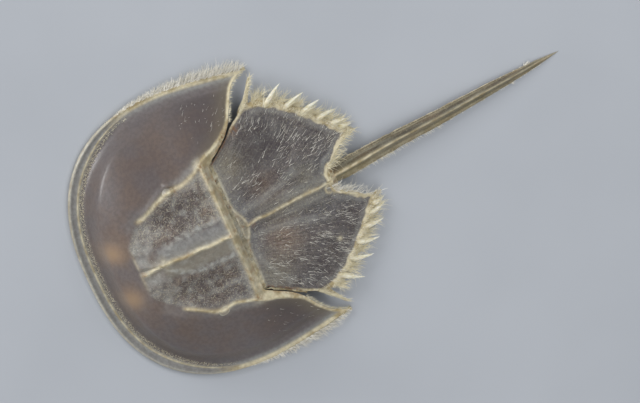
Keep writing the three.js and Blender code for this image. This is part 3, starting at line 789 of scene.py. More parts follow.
def make_head_shield():
    obj = sheet("head_shield_skin", 300, 124, head_place)
    thicken(obj, SKIN, use_quality_normals=True)
    finish_skin(obj, HEAD_CUTICLE, "head_skin", "head_shield", **head_masks(*plan_of(obj)))


EYE_EDGE = 1.2  # reach of an eye's clear skin, past its outline


def eye_place(u, v, side):
    """Point of a compound eye's clear skin: u runs round it, v out from its middle."""
    reach = EYE_EDGE * v
    across = reach * np.cos(2 * math.pi * u) * EYE_RADII[0]
    along = reach * np.sin(2 * math.pi * u) * EYE_RADII[1]
    x = side * (EYE_X + math.cos(EYE_TURN) * across - math.sin(EYE_TURN) * along) + EYE_SKEW[0]
    y = EYE_Y + EYE_SKEW[1] * side + math.sin(EYE_TURN) * across + math.cos(EYE_TURN) * along
    swell = 0.1 * np.clip(1 - reach, 0, 1) ** 0.5 + 0.07 * bump(reach - 1, 0.12)
    return np.column_stack([x, y, head_top(x, y) + swell + 0.02 - 0.06 * v**6])


def make_eyes():
    for side, word in SIDES:
        obj = sheet(f"compound_eye_{word}", 64, 20, lambda u, v: eye_place(u, v, side))
        thicken(obj, 0.08)
        x, y = plan_of(obj)
        reach = eye_reach(x, y)
        ridge = bump(eye_ridge_near(x, y)[0], 0.5)
        inside = 1 - smoothstep(reach, 0.8, 1.0)
        finish_skin(
            obj, HEAD_CUTICLE, "head_skin", warm=0.3, olive=0.2, dusk=0.2,
            cream=np.maximum(0.6 * bump(reach - 1, 0.16), ridge), tan=(0.1 if side < 0 else 0.8) * inside,
            frost=np.maximum(0.9 * bump(reach - 1, 0.2), 0.35 * inside) * (1 - ridge),
            stain=0.3 * bump(reach - 0.7, 0.2) * ridge,
        )


# Abdomen plate

NOTCH_SHARE = 0.7


def plate_place(u, v):
    """Point of the plate's left half: u runs along its outline, v from there in to the midline."""
    outer = PLATE_OUTLINE.at(u)
    ahead = np.clip(u / NOTCH_SHARE, 0, 1)
    behind = np.clip((u - NOTCH_SHARE) / (1 - NOTCH_SHARE), 0, 1)
    midline = np.stack([np.zeros(len(u)), PLATE_FRONT_Y + (NOTCH_Y - PLATE_FRONT_Y) * ahead], -1)
    inner = np.where((behind > 0)[:, None], NOTCH.at(behind), midline)
    plan = outer + (inner - outer) * (v**1.15)[:, None]
    return np.column_stack([plan, plate_top(plan[:, 0], plan[:, 1])])


def plate_masks(x, y):
    margin = PLATE_OUTLINE.near(x, y)[0]
    notch = NOTCH.near(x, y)[0]
    keel = plate_keel_distance(x, y)
    width = felt_width(x, y)
    behind_lobe = smoothstep(y, -4.5, -1)
    felt = (1 - smoothstep(margin, width + 0.1, width + 0.7)) * behind_lobe
    slit_edge = (1 - smoothstep(margin, 0.25, 0.7)) * (1 - behind_lobe) * smoothstep(y, -9, -6)
    notch_width = 0.6 + 0.25 * mottle(x, y, 1.0, 43)
    arch = PLATE_ARCH.near(x, y)[0]
    cup = bump(cup_reach(x, y) - 0.75, 0.24) * smoothstep(-y, -6.6, -6.1)
    cream = most([
        felt, 0.9 * slit_edge, 0.9 * bump(keel, 0.3 + 0.1 * bump(y - 2.5, 1.8)),
        0.35 * bump(PLATE_FRONT_RIDGE.near(x, y)[0], 0.35), 0.55 * bump(arch, 0.3),
        1 - smoothstep(notch, notch_width, notch_width + 0.5), 0.8 * cup,
        spot(x, y, PLATE_FLAKE, 0.35), 0.7 * spot(x, y, (11.8, 4.1), 0.5),
    ])
    inside_arch = smoothstep(-11.5 - 1.3 * (np.abs(x) / 3.7) ** 1.4 - y, 0.0, 0.3) * (np.abs(x) < 4)
    violet = bump(np.hypot((x + 0.1) * 0.45, y + 13.75), 0.45)
    front_haze = 1 - smoothstep(y, -12.5, -8)
    frost = most([
        0.32 * bump(PLATE_FURROW.near(x, y)[0], 0.9), 0.3 * bump(arch, 0.6),
        0.5 * bump(PLATE_FRONT_RIDGE.near(x, y)[0], 0.5),
        (0.12 + 0.24 * (x > 0)) * bump(PLATE_VEIN.near(x, y)[0] + 0.5 * mottle(x, y, 1.4, 45), 0.8),
        0.06 * (1 + mottle(x, y, 2.5, 8)), 0.3 * bump(margin - 1.9, 0.7) * behind_lobe,
        0.5 * violet, 0.3 * bump(notch - 1.4, 0.6), 0.22 * front_haze,
        0.25 * bump(keel - 1.5, 1.0) * smoothstep(y, -9, 0),
    ])
    browned = spots(
        x, y, (1, -5.0, -5.6, 4.0), (1, 6.6, -6.0, 4.4), (0.8, -13.5, -3.4, 4.0), (0.6, 13.5, 1.0, 3.0)
    )
    warm = np.maximum(browned, 0.3 * smoothstep(np.abs(x), 4, 7)) * (1 - bump(keel, 1.6))
    dusk = smoothstep(margin, 1.0, 2.4) * spots(
        x, y, (1, -13.0, -3.6, 5.4), (0.55, -6.2, -6.5, 3.2), (0.5, 14.6, -0.5, 4.4),
        (0.45, 9.5, 7.5, 3.6), (0.5, -10.5, 6.5, 3.4), (0.35, -2.2, -8.6, 1.4),
    )
    tan = 0.3 * spot(x, y, (6.8, -6.2), 4.2) + 0.15 * spot(x, y, (-6.0, -5.6), 2.6)
    stain = most([
        0.45 * inside_arch * smoothstep(mottle(x, y, 1.2, 2), -0.2, 0.6) * (1 - violet),
        0.55 * (1 - smoothstep(margin, 0.1, 0.6)) * smoothstep(-y, 6, 8),
        spots(x, y, (0.75, 0.3, -10.5, 0.6), (0.7, 3.9, -13.1, 0.5), (0.6, 5.0, -13.2, 0.4)),
        spots(x, y, (0.7, -4.5, -13.3, 0.4), (0.7, -17.6, -6.6, 1.0)),
    ])
    olive = most([
        0.75 * inside_arch * (1 - violet), 0.3 * bump(keel, 2.6) * smoothstep(y, -11, -6),
        0.4 * twin_spot(x, y, (12, -10.5), 3.4), 0.3 * spot(x, y, (-3.0, 2.6), 2.6),
    ])
    speck = np.maximum(0.28 - 0.2 * dusk, 0.9 * felt)
    return {
        "cream": cream, "frost": frost, "warm": warm, "tan": tan, "stain": stain, "speck": speck,
        "olive": olive, "crease": 0.45 - 0.25 * bump(keel, 2.5), "dusk": dusk,
    }


def fan_heading(x):
    """Heading of the plate's bristles and streaks, which fan out from the midline, in radians from +Y."""
    return np.sign(x) * (FAN_START + FAN_SPREAD * np.abs(x))


def paint_fan(obj):
    """Stores the place of each point across and along the fan, in streaks."""
    x, y = plan_of(obj)
    across = (np.abs(x) + FAN_START / FAN_SPREAD) * np.exp(-FAN_SPREAD * y)
    fan = np.column_stack([across / STREAK_WIDTH, y / STREAK_LENGTH, np.sign(x) * 7])
    layer = obj.data.attributes.new("fan", "FLOAT_VECTOR", "POINT")
    layer.data.foreach_set("vector", np.ravel(fan).astype(np.float32))


FAN_START, FAN_SPREAD = 0.06, 0.045
STREAK_WIDTH, STREAK_LENGTH = 0.5, 4.5

LEAF = ((0, 0.3), (0.04, 0.7), (0.12, 0.95), (0.22, 1), (0.5, 0.78), (0.75, 0.5), (0.92, 0.24), (1, 0.03))
LOBE = (
    (0, 0.6), (0.12, 0.9), (0.25, 0.85), (0.38, 0.6), (0.5, 0.42), (0.7, 0.32), (0.88, 0.25), (0.97, 0.16),
    (1, 0.04),
)


def leaf_spine(name, root, tip, radius, flatness, bow=0.0, outline=LEAF):
    """Leaf-shaped spine between two points of the plan, from a cylinder cut into rings."""
    rings, sides = 16, 20
    bpy.ops.object.select_all(action="DESELECT")
    bpy.ops.mesh.primitive_cylinder_add(vertices=sides, radius=1, depth=1, end_fill_type="TRIFAN")
    obj = bpy.context.object
    obj.name = name
    cuts = np.linspace(-0.5, 0.5, rings + 1)[1:-1]
    in_edit_mode(obj, *[
        (bisect_all, {"plane_co": (0, 0, cut), "plane_no": (0, 0, 1)}) for cut in cuts
    ])
    points = points_of(obj)
    share = points[:, 2] + 0.5
    girth = np.interp(share, *zip(*outline))
    rib = 1 + 0.25 * bump(points[:, 0], 0.3) * (points[:, 1] > 0)
    root, tip = Vector(root), Vector(tip)
    along = (tip - root).normalized()
    across = along.cross(Vector((0, 0, 1))).normalized()
    up = across.cross(along)
    length = (tip - root).length
    frame_of = np.array([across, along, up])
    local = np.column_stack([
        points[:, 0] * girth * radius + bow * length * share * (1 - share),
        share * length,
        points[:, 1] * girth * radius * flatness * rib + 0.12 * length * share * (1 - share),
    ])
    move_points(obj, part(np.array(root) + local @ frame_of))
    in_edit_mode(obj, (bpy.ops.mesh.normals_make_consistent, {"inside": False}))
    paint(obj, root=1 - smoothstep(share, 0.05, 0.4))
    smooth(obj)
    return obj


def bisect_all(**settings):
    bpy.ops.mesh.select_all(action="SELECT")
    bpy.ops.mesh.bisect(**settings)


def make_abdomen_plate():
    obj = sheet("abdomen_plate_skin", 190, 96, plate_place)
    face_up(obj)
    modify(obj, "MIRROR", use_axis=(True, False, False), use_mirror_merge=True, merge_threshold=0.01 * MM)
    thicken(obj, SKIN, use_quality_normals=True)
    paint_fan(obj)
    finish_skin(obj, PLATE_CUTICLE, "plate_skin", "abdomen_plate", **plate_masks(*plan_of(obj)))


def membrane_place(u, v):
    """Point of the soft skin in the hinge: u runs along it, v from the head's lip down to the plate."""
    x = HINGE_HALF * 1.02 * (2 * u - 1)
    lip = head_top(x, np.full(len(x), HINGE_Y)) - SKIN - 0.05
    landing_y = -12.75 - 0.25 * smoothstep(np.abs(x), 9, 13.5)
    landing = plate_top(x, landing_y) - 0.06
    y = (HINGE_Y - 0.25) * (1 - v) + landing_y * v
    sag = 0.5 * np.sin(math.pi * v) * np.clip(lip - landing, 0, 2)
    fold = 0.07 * mottle(x, y * 4, 1.1, 51)
    return np.column_stack([x, y, lip * (1 - v) + landing * v - 0.1 * sag + fold * np.sin(math.pi * v)])


def make_hinge_membrane():
    obj = sheet("hinge_membrane", 160, 10, membrane_place)
    thicken(obj, SOFT_SKIN)
    x, y = plan_of(obj)
    violet = bump(np.hypot((x + 0.1) * 0.3, y + 13.4), 0.45)
    torn = smoothstep(mottle(x, y, 0.9, 55), -0.5, 0.5) * (1 - violet)
    cracked = smoothstep(mottle(x, y, 0.5, 53), 0.15, 0.7) * smoothstep(mottle(x, y, 3, 54), -0.2, 0.3)
    # Partly painted light: the frost in patches and the torn cream lighten this soft skin where it lies in
    # the shade below the head's rear lip. The pale patch in its middle, its olive and its cracked stains
    # are its own colours.
    finish_skin(
        obj, HEAD_CUTICLE, "plate_skin", olive=0.75, warm=0.6, speck=0.4, crease=0.9,
        frost=0.6 * violet + 0.3 * smoothstep(mottle(x, y, 0.9, 57), 0, 0.7),
        dusk=0.1 * smoothstep(mottle(x, y, 1.1, 59), 0, 0.7), stain=0.8 * cracked * (1 - violet),
        cream=(0.25 + 0.3 * smoothstep(np.abs(x), 3, 10)) * torn + 0.35 * smoothstep(x, 4, 12),
    )


SOCKET_SHARES = (0.2, 0.3)  # of the notch's left and right edge, over which soft skin holds the tail's root


def socket_place(u, v):
    """Point of the soft skin round the tail's root: u runs over the tail, v from the notch back to it."""
    side = 2 * u - 1
    near = NOTCH.at(np.abs(side) * np.where(side > 0, *SOCKET_SHARES))
    near_z = plate_top(near[:, 0], near[:, 1]) - 0.12
    near = np.column_stack([near[:, 0] * np.sign(side), near[:, 1] - 0.15, near_z])
    share = np.full(len(u), 0.5 / TAIL_LENGTH)
    section = np.array(TAIL_SECTION[:8])
    height = np.interp(np.abs(side), section[:, 0], section[:, 1]) + 0.03
    half = tail_half(share)
    far_z = TAIL_UNDERSIDE * (1 - share) + height * TAIL_HEIGHT * half
    far = np.column_stack([tail_plan(side * half, share), far_z])
    mix = v[:, None]
    points = near * (1 - mix) + far * mix
    points[:, 2] += 0.15 * np.sin(math.pi * v) + 0.08 * mottle(points[:, 0], points[:, 1], 0.8, 63)
    return points


# Share of the cheek's edge along which dried skin still hangs in the slit beside the plate, and how much
# of the slit's width it covers
SLIT_SKIN = {"right": (0.3, 0.5), "left": (0.44, 0.66)}


def slit_place(u, v, word):
    """Point of the torn skin in a slit: u runs from the hinge's corner, v out from the cheek on the right
    side and out from the plate on the left side."""
    length, cover = SLIT_SKIN[word]
    cheek, plate = CHEEK_EDGE.at(u * length), PLATE_OUTLINE.at(0.08 + u * 0.2)
    ragged = 0.7 * (1 - cover) * mottle(cheek[:, 1], u * 0, 0.9, 71)
    reach = v * (cover + ragged - 0.3 * smoothstep(u, 0.75, 1))
    if word == "left":
        reach = 1 - reach
    plan = cheek + (plate - cheek) * reach[:, None]
    cheek_z = head_top(cheek[:, 0], cheek[:, 1]) - SKIN
    plate_z = plate_top(plate[:, 0], plate[:, 1]) - 0.1
    return np.column_stack([plan, cheek_z + (plate_z - cheek_z) * reach])


def make_slit_skins():
    for side, word in SIDES:
        obj = sheet(f"slit_membrane_{word}", 90, 8, lambda u, v: slit_place(u, v, word) * (side, 1, 1))
        thicken(obj, 0.1)
        x, y = plan_of(obj)
        finish_skin(
            obj, HEAD_CUTICLE, "head_skin", olive=0.9, warm=1, tan=0.3, dusk=0.2, speck=0.4, crease=0.8,
            cream=(0.8 if side > 0 else 0.4) * smoothstep(mottle(x, y, 0.8, 73), -0.4 * side, 0.5),
            stain=0.9 * smoothstep(y, -11.5, -9.5) * (0.7 if side < 0 else 0.3),
        )


def make_tail_socket():
    obj = sheet("tail_socket_membrane", 64, 20, socket_place)
    thicken(obj, SOFT_SKIN)
    x, y = plan_of(obj)
    # The socket's cream is its own light cream-tan, laid on more strongly as painted light that offsets the
    # shade on its steep, back-facing slope.
    finish_skin(
        obj, HEAD_CUTICLE, "plate_skin", olive=0.2, warm=1, tan=0.9, speck=0.4,
        cream=0.9 + 0.3 * mottle(x, y, 0.9, 65),
        stain=0.25 + 0.8 * spot(x, y, (-1.4, 8.1), 0.5) + 0.25 * spot(x, y, (0.8, 7.6), 0.5),
    )


def on_plate(point, depth):
    x, y = np.array([point[0]]), np.array([point[1]])
    return float(plate_base(x, y)[0][0]) - depth


def make_lobes():
    for side, word in SIDES:
        root, tip = FRONT_LOBE
        start_plan = (root[0] + 0.3, root[1] + 1.3)
        start = (side * start_plan[0], start_plan[1], on_plate(start_plan, 0.95))
        end = (side * tip[0], tip[1], PLATE_EDGE + 0.2)
        obj = leaf_spine(f"abdomen_lobe_{word}", start, end, 1.15, 0.34, -0.08 * side, LOBE)
        cream = 0.75 + 0.3 * mottle(*plan_of(obj), 0.8, 79)
        finish_skin(obj, HEAD_CUTICLE, "plate_skin", cream=cream, speck=0.8, olive=0.6)


def make_edge_spines():
    for side, word in SIDES:
        for index, (root, tip) in enumerate(LOOSE_SPINES, 1):
            root, tip = np.array(root), np.array(tip)
            inward = (root - tip) / np.linalg.norm(root - tip)
            start_plan = root + 0.5 * inward
            start = (side * start_plan[0], start_plan[1], on_plate(start_plan, -0.45))
            end = (side * tip[0], tip[1], on_plate(root, 0.35) - 0.1)
            name = f"edge_spine_{word}_{index}"
            obj = leaf_spine(name + "_blade", start, end, 0.5, 0.7, 0.14 * side)
            finish_piece(obj, SPINE_HORN, "spine_skin", name)


# Tail spine

TAIL_SECTION = [
    (0, 1), (0.08, 0.985), (0.17, 0.9), (0.3, 0.7), (0.5, 0.5), (0.78, 0.38), (0.94, 0.33), (1, 0.24),
    (0.95, 0.13), (0.8, 0.08), (0.4, 0.12), (0, 0.17),
]


def tail_place(u, v):
    """Point of the tail spine: u runs round its section, v from the root to the tip."""
    section = Line(TAIL_SECTION + [(-x, z) for x, z in TAIL_SECTION[-2::-1]])
    across = section.at(u)
    share = v**1.1
    half = tail_half(share)
    ragged = 1 + 0.05 * mottle(share * TAIL_LENGTH, np.sign(across[:, 0]) * 3, 0.9) * np.abs(across[:, 0])
    sideways = across[:, 0] * ragged - tail_lean(share) * across[:, 1]
    z = TAIL_UNDERSIDE * (1 - share) + across[:, 1] * TAIL_HEIGHT * half
    return np.column_stack([tail_plan(sideways * half, share), z])


def tail_plan(across, share):
    """Point in plan of the tail spine, across it from its middle at a share of its length."""
    x, y = across + tail_bend(share), share * TAIL_LENGTH
    turn_x = x * math.cos(TAIL_YAW) - y * math.sin(TAIL_YAW) + TAIL_ROOT[0]
    turn_y = x * math.sin(TAIL_YAW) + y * math.cos(TAIL_YAW) + TAIL_ROOT[1]
    return np.column_stack([turn_x, turn_y])


def tail_half(share):
    """Half width of the tail spine at a share of its length."""
    pinch = 1 - TAIL_PINCH * np.exp(-share * TAIL_LENGTH)
    return np.maximum(TAIL_HALF * (1 - 0.5 * share - 0.5 * share**6) * pinch, 0.02)


def tail_bend(share):
    """How far the dried tail spine bends to the left, away from its root's heading."""
    return 0.32 * smoothstep(share * TAIL_LENGTH, 8, 28)


def tail_lean(share):
    return TAIL_LEAN * smoothstep(share * TAIL_LENGTH, 3, 16)


def tail_local(x, y):
    """Place on the tail spine, across it from its middle and along it from its root."""
    dx, dy = x - TAIL_ROOT[0], y - TAIL_ROOT[1]
    across = dx * math.cos(TAIL_YAW) + dy * math.sin(TAIL_YAW)
    along = -dx * math.sin(TAIL_YAW) + dy * math.cos(TAIL_YAW)
    return across - tail_bend(np.clip(along / TAIL_LENGTH, 0, 1)), along


def make_tail_spine():
    obj = sheet("tail_spine_skin", 72, 260, tail_place)
    in_edit_mode(
        obj,
        (bpy.ops.mesh.remove_doubles, {"threshold": 0.004 * MM}),
        (bpy.ops.mesh.select_non_manifold, {"extend": False}),
        (bpy.ops.mesh.fill_holes, {"sides": 0}),
        (bpy.ops.mesh.select_all, {"action": "SELECT"}),
        (bpy.ops.mesh.normals_make_consistent, {"inside": False}),
    )
    x, y = plan_of(obj)
    across, along = tail_local(x, y)
    share = np.clip(along / TAIL_LENGTH, 0, 1)
    above = (points_of(obj)[:, 2] / MM - TAIL_UNDERSIDE * (1 - share)) / TAIL_HEIGHT
    across = across + tail_lean(share) * above
    half = np.maximum(tail_half(share), 0.05)
    reach = np.abs(across) / half
    streaks = mottle(across * 12, along, 5, 6)
    at_root = (1 - share) ** 8
    right_flank = smoothstep(-across, -0.1, 0.2)
    left_flank = (1 - right_flank) * (1 - 0.6 * smoothstep(share, 0.5, 0.8))
    cream = most([
        (0.7 + 0.3 * at_root - 0.3 * smoothstep(share, 0.2, 0.5)) * bump(across, 0.22 + 0.4 * at_root),
        0.65 * smoothstep(reach, 0.88, 0.98),
        0.3 * bump(across / half + 0.72, 0.06), 0.25 * smoothstep(share, 0.88, 1),
        # The first term on this row is partly painted light: it lightens the whole left flank, which faces
        # away from the key light. The second is a pale streak of its own.
        (0.1 + 0.3 * at_root) * left_flank, 0.4 * bump(across / half - 0.7, 0.18) * left_flank,
    ])
    beside_keel = bump(across / half + 0.3, 0.12) + 0.3 * bump(across / half - 0.32, 0.12)
    finish_skin(
        obj, TAIL_CUTICLE, "tail_skin", "tail_spine",
        cream=cream, frost=(0.06 + 0.25 * streaks) * right_flank, warm=1 - 0.7 * right_flank,
        olive=0.2 + 0.4 * streaks, tan=0.05 + 0.25 * mottle(across * 7, along, 5, 8),
        stain=0.85 * bump(along - 0.4, 1.0) * bump(across + 0.9, 0.5),
        speck=0.2 + 0.5 * smoothstep(reach, 0.7, 0.9),
        # Less dusk on the left flank is painted light, which offsets the shade it gets from facing away
        # from the key light.
        dusk=(0.2 + 0.5 * streaks + 0.45 * beside_keel) * (1 - 0.5 * left_flank) * (1 - 0.5 * at_root),
    )


# Bristles. The real ones are 0.03 to 0.08 mm thick, too fine to show, so they are drawn at 0.065 to
# 0.14 mm. Each tuft is one mesh made from the points of its hairs, with few faces to a hair.

def bristles(name, lines, thickness, material, slot):
    """One mesh of three-sided tapering bristles. lines holds each bristle's points, root first."""
    count, rings = lines.shape[:2]
    way = np.gradient(lines, axis=1)
    way /= np.linalg.norm(way, axis=2, keepdims=True)
    across = np.cross(way, random.normal(size=(count, 1, 3)))
    across /= np.linalg.norm(across, axis=2, keepdims=True)
    other = np.cross(way, across)
    taper = 1 - 0.8 * np.linspace(0, 1, rings) ** 1.3
    radius = thickness / 2 * taper[None, :, None] * random.uniform(0.75, 1.25, (count, 1, 1))
    corners = [
        lines + radius * (math.cos(a) * across + math.sin(a) * other)
        for a in (0, 2 * math.pi / 3, 4 * math.pi / 3)
    ]
    points = np.stack(corners, 2).reshape(-1, 3)
    faces = []
    for i in range(count):
        start = i * rings * 3
        end = start + (rings - 1) * 3
        for ring in range(start, end, 3):
            for j in range(3):
                k = (j + 1) % 3
                faces.append((ring + j, ring + k, ring + 3 + k, ring + 3 + j))
        faces.append((start + 2, start + 1, start))
        faces.append((end, end + 1, end + 2))
    mesh = bpy.data.meshes.new(name)
    mesh.from_pydata(part(points).tolist(), [], faces)
    obj = bpy.data.objects.new(name, mesh)
    bpy.context.scene.collection.objects.link(obj)
    paint(obj, tone=np.repeat(random.random(count) ** 1.5, rings * 3))
    smooth(obj)
    finish_piece(obj, material, slot)


LEAST_HEIGHT = 0.08  # of a bristle's middle over the floor, in millimetres


def sprout(roots, ways, lengths, curl=0.15):
    """Lines of bristles that leave their roots along ways and curl by a share of their length."""
    t = np.linspace(0, 1, 5)[None, :, None]
    ways = ways / np.linalg.norm(ways, axis=1, keepdims=True)
    bend = np.cross(ways, random.normal(size=ways.shape))
    lines = roots[:, None] + lengths[:, None, None] * (ways[:, None] * t + curl * bend[:, None] * t**2)
    lines[..., 2] = np.maximum(lines[..., 2], LEAST_HEIGHT)
    return lines


def lying(top, x, y, heading, lengths, rings, lift, rise, curl=0.2):
    """Lines of bristles that lie along a surface, from roots in plan, with their tips a little raised."""
    t = np.linspace(0, 1, rings)[None, :]
    turn = heading[:, None] + curl * random.normal(size=(len(x), 1)) * t
    px = x[:, None] + np.cumsum(np.sin(turn), 1) * lengths[:, None] / rings
    py = y[:, None] + np.cumsum(np.cos(turn), 1) * lengths[:, None] / rings
    lines = np.stack([px, py, top(px, py) + lift + rise * lengths[:, None] * t**1.5], -1)
    lines[:, 0, 2] -= 0.2
    return lines


def edge_roots(line, shares, side, inset=0.0):
    """Roots along an outline of one side, and the headings out of it and along it."""
    plan, way = line.at(shares), line.along(shares)
    out = np.stack([way[:, 1], -way[:, 0]], -1)
    plan = plan - np.reshape(inset, (-1, 1)) * out
    flip = np.array([side, 1])
    return plan * flip, out * flip, way * flip


def edge_bristles(line, side, shares, lengths, lean, spread, inset, lift, z_of, curl=0.15):
    """Bristles along an outline. lean turns them from straight out towards the outline's far end."""
    plan, out, way = edge_roots(line, shares, side, inset)
    tilt = (lean + spread * random.normal(size=len(shares)))[:, None]
    ways = np.cos(tilt) * out + np.sin(tilt) * way
    ways = np.column_stack([ways, random.uniform(*lift, len(shares))])
    return sprout(np.column_stack([plan, z_of(plan)]), ways, lengths, curl)


FRINGES = {  # bristles, then their length in millimetres at shares of the head's outline
    "right": (900, (0.57, 0.66, 0.76, 0.85, 0.93, 0.985, 1), (0.4, 1.3, 2.0, 3.0, 3.3, 1.8, 0.6)),
    "left": (560, (0.64, 0.74, 0.84, 0.93, 0.985, 1), (0.3, 1.4, 2.2, 2.2, 1.0, 0.4)),
}


def make_cheek_fringes():
    for side, word in SIDES:
        count, *profile = FRINGES[word]
        shares = random.uniform(profile[0][0], 0.99, count)
        lengths = np.interp(shares, *profile) * random.uniform(0.45, 1.1, count)
        lines = edge_bristles(
            HEAD_OUTLINE, side, shares, lengths, 0.62, 0.22, 0.2, (-0.1, 0.3),
            lambda plan: random.uniform(0.4, 1.25, len(plan)),
        )
        bristles(f"cheek_fringe_{word}", lines, 0.13, WHITE_BRISTLE, "head_skin")


def plate_height(plan):
    return plate_top(plan[:, 0], plan[:, 1]) - 0.15


FELT_HAIRS, TUFT_HAIRS, SPINE_HAIRS = 800, 32, 24  # along a side's edge, in each tuft and round each spine


def make_edge_brushes():
    roots = np.array([root for root, tip in LOOSE_SPINES])
    spine_shares = PLATE_OUTLINE.near(roots[:, 0], roots[:, 1])[1]
    gaps = np.concatenate([spine_shares[:1] - 0.055, (spine_shares[1:] + spine_shares[:-1]) / 2])
    pairs = np.sort(np.concatenate([gaps - 0.012, gaps + 0.012]))
    for side, word in SIDES:
        felt = random.uniform(0.42, 0.985, FELT_HAIRS)
        short = edge_bristles(
            PLATE_OUTLINE, side, felt, random.uniform(0.35, 1.0, FELT_HAIRS), 0.5, 0.6,
            random.uniform(-0.1, 1.3, FELT_HAIRS), (0.2, 0.9), plate_height, 0.25,
        )
        tufts = pairs + random.normal(0, 0.004, len(pairs))
        brush = np.repeat(tufts, TUFT_HAIRS) + random.normal(0, 0.006, TUFT_HAIRS * len(tufts))
        lean = np.repeat(random.normal(0.72, 0.2, len(tufts)), TUFT_HAIRS)
        tall = edge_bristles(
            PLATE_OUTLINE, side, brush, random.uniform(1.3, 3.3, len(brush)), lean, 0.24, 0.15,
            (-0.15, 0.3), plate_height, 0.3,
        )
        lines = [short, tall]
        flip = np.array([side, 1])
        for root, tip in np.array(LOOSE_SPINES):
            length = np.linalg.norm(tip - root)
            start = root + random.normal(0, 0.28, (SPINE_HAIRS, 2))
            ways = (tip - root) / length + random.normal(0, 0.16, (SPINE_HAIRS, 2))
            ways = np.column_stack([ways * flip, random.uniform(-0.15, 0.15, SPINE_HAIRS)])
            z = plate_top(start[:, 0], start[:, 1]) + 0.1
            reach = length * random.uniform(0.3, 0.72, SPINE_HAIRS)
            lines.append(sprout(np.column_stack([start * flip, z]), ways, reach, 0.12))
        bristles(f"edge_brushes_{word}", np.concatenate(lines), 0.12, STRAW_BRISTLE, "plate_skin")


NOTCH_TUFTS = {  # hairs, how much they crowd towards the tail's root, and their material
    "right": (150, 1, STRAW_BRISTLE),
    "left": (110, 1.5, WHITE_BRISTLE),
}
LOBE_HAIRS = 220


def make_notch_bristles():
    for side, word in SIDES:
        count, crowding, material = NOTCH_TUFTS[word]
        shares = random.uniform(0.2, 0.97, count) ** crowding
        plan = edge_roots(NOTCH, shares, side, random.uniform(-0.7, 0.0, count))[0]
        ways = np.column_stack([
            random.normal(-0.28 * side, 0.22, count), random.uniform(0.7, 1.1, count),
            random.uniform(-0.1, 0.35, count),
        ])
        lengths = random.uniform(0.9, 3.1, count) * np.interp(shares, (0, 0.5, 1), (0.9, 1, 0.6))
        lines = sprout(np.column_stack([plan, plate_height(plan)]), ways, lengths, 0.35)
        bristles(f"notch_bristles_{word}", lines, 0.14, material, "plate_skin")


def make_lobe_brushes():
    root, tip = np.array(FRONT_LOBE)
    for side, word in SIDES:
        share = random.uniform(0.25, 1.0, LOBE_HAIRS)
        plan = root + share[:, None] * (tip - root)
        plan = plan + np.array([-0.2, 0.3]) * random.uniform(0.0, 1.0, (LOBE_HAIRS, 1))
        z = PLATE_EDGE + 0.35 + (on_plate(root, 0.45) - PLATE_EDGE) * (1 - share)
        ways = np.column_stack([
            random.normal(0.35, 0.35, LOBE_HAIRS) * side, random.uniform(0.5, 1.0, LOBE_HAIRS),
            random.uniform(-0.2, 0.5, LOBE_HAIRS),
        ])
        roots = np.column_stack([plan * np.array([side, 1]), z])
        lines = sprout(roots, ways, random.uniform(0.3, 1.5, LOBE_HAIRS), 0.25)
        bristles(f"lobe_brushes_{word}", lines, 0.11, STRAW_BRISTLE, "plate_skin")


def inside_plate(x, y):
    """True over the abdomen plate, well clear of its edges."""
    x = np.abs(x)
    outline = PLATE_OUTLINE.points
    limit = np.interp(y, outline[:, 1], outline[:, 0])
    notch = np.interp(y, NOTCH.points[:, 1], NOTCH.points[:, 0], left=0)
    return (x < limit - 1.4) & (x > notch + 0.8)


PLATE_SEEDS, CROWN_SEEDS, CHEEK_SEEDS = 4200, 900, 90  # places tried, of which bare patches lose theirs
LONG_HAIR = 1.35  # millimetres, from which a hair on the plate is a bristle and not down


def make_plate_bristles():
    x = random.uniform(-20, 20, PLATE_SEEDS)
    y = random.uniform(-12.0, 14.0, PLATE_SEEDS)
    kept = inside_plate(x, y) & (np.abs(x) > 1.0)
    patchy = mottle(x, y, 3.0, 12) + 0.8 * smoothstep(np.abs(x), 2, 9) - 0.55 + 0.3 * smoothstep(y, -9, 0)
    patchy -= 0.8 * spot(x, y, (-13, -5), 5.5)
    kept &= patchy > random.uniform(-0.4, 1.1, PLATE_SEEDS)
    x, y = x[kept], y[kept]
    heading = fan_heading(x) + random.normal(0, 0.24, len(x))
    lengths = 0.5 + 1.7 * random.random(len(x)) ** 1.6
    lines = lying(plate_top, x, y, heading, lengths, 5, 0.06, 0.12, 0.22)
    is_long = lengths > LONG_HAIR
    bristles("abdomen_bristles", lines[is_long], 0.085, WHITE_BRISTLE, "plate_skin")
    bristles("abdomen_down", lines[~is_long], 0.065, GREY_BRISTLE, "plate_skin")


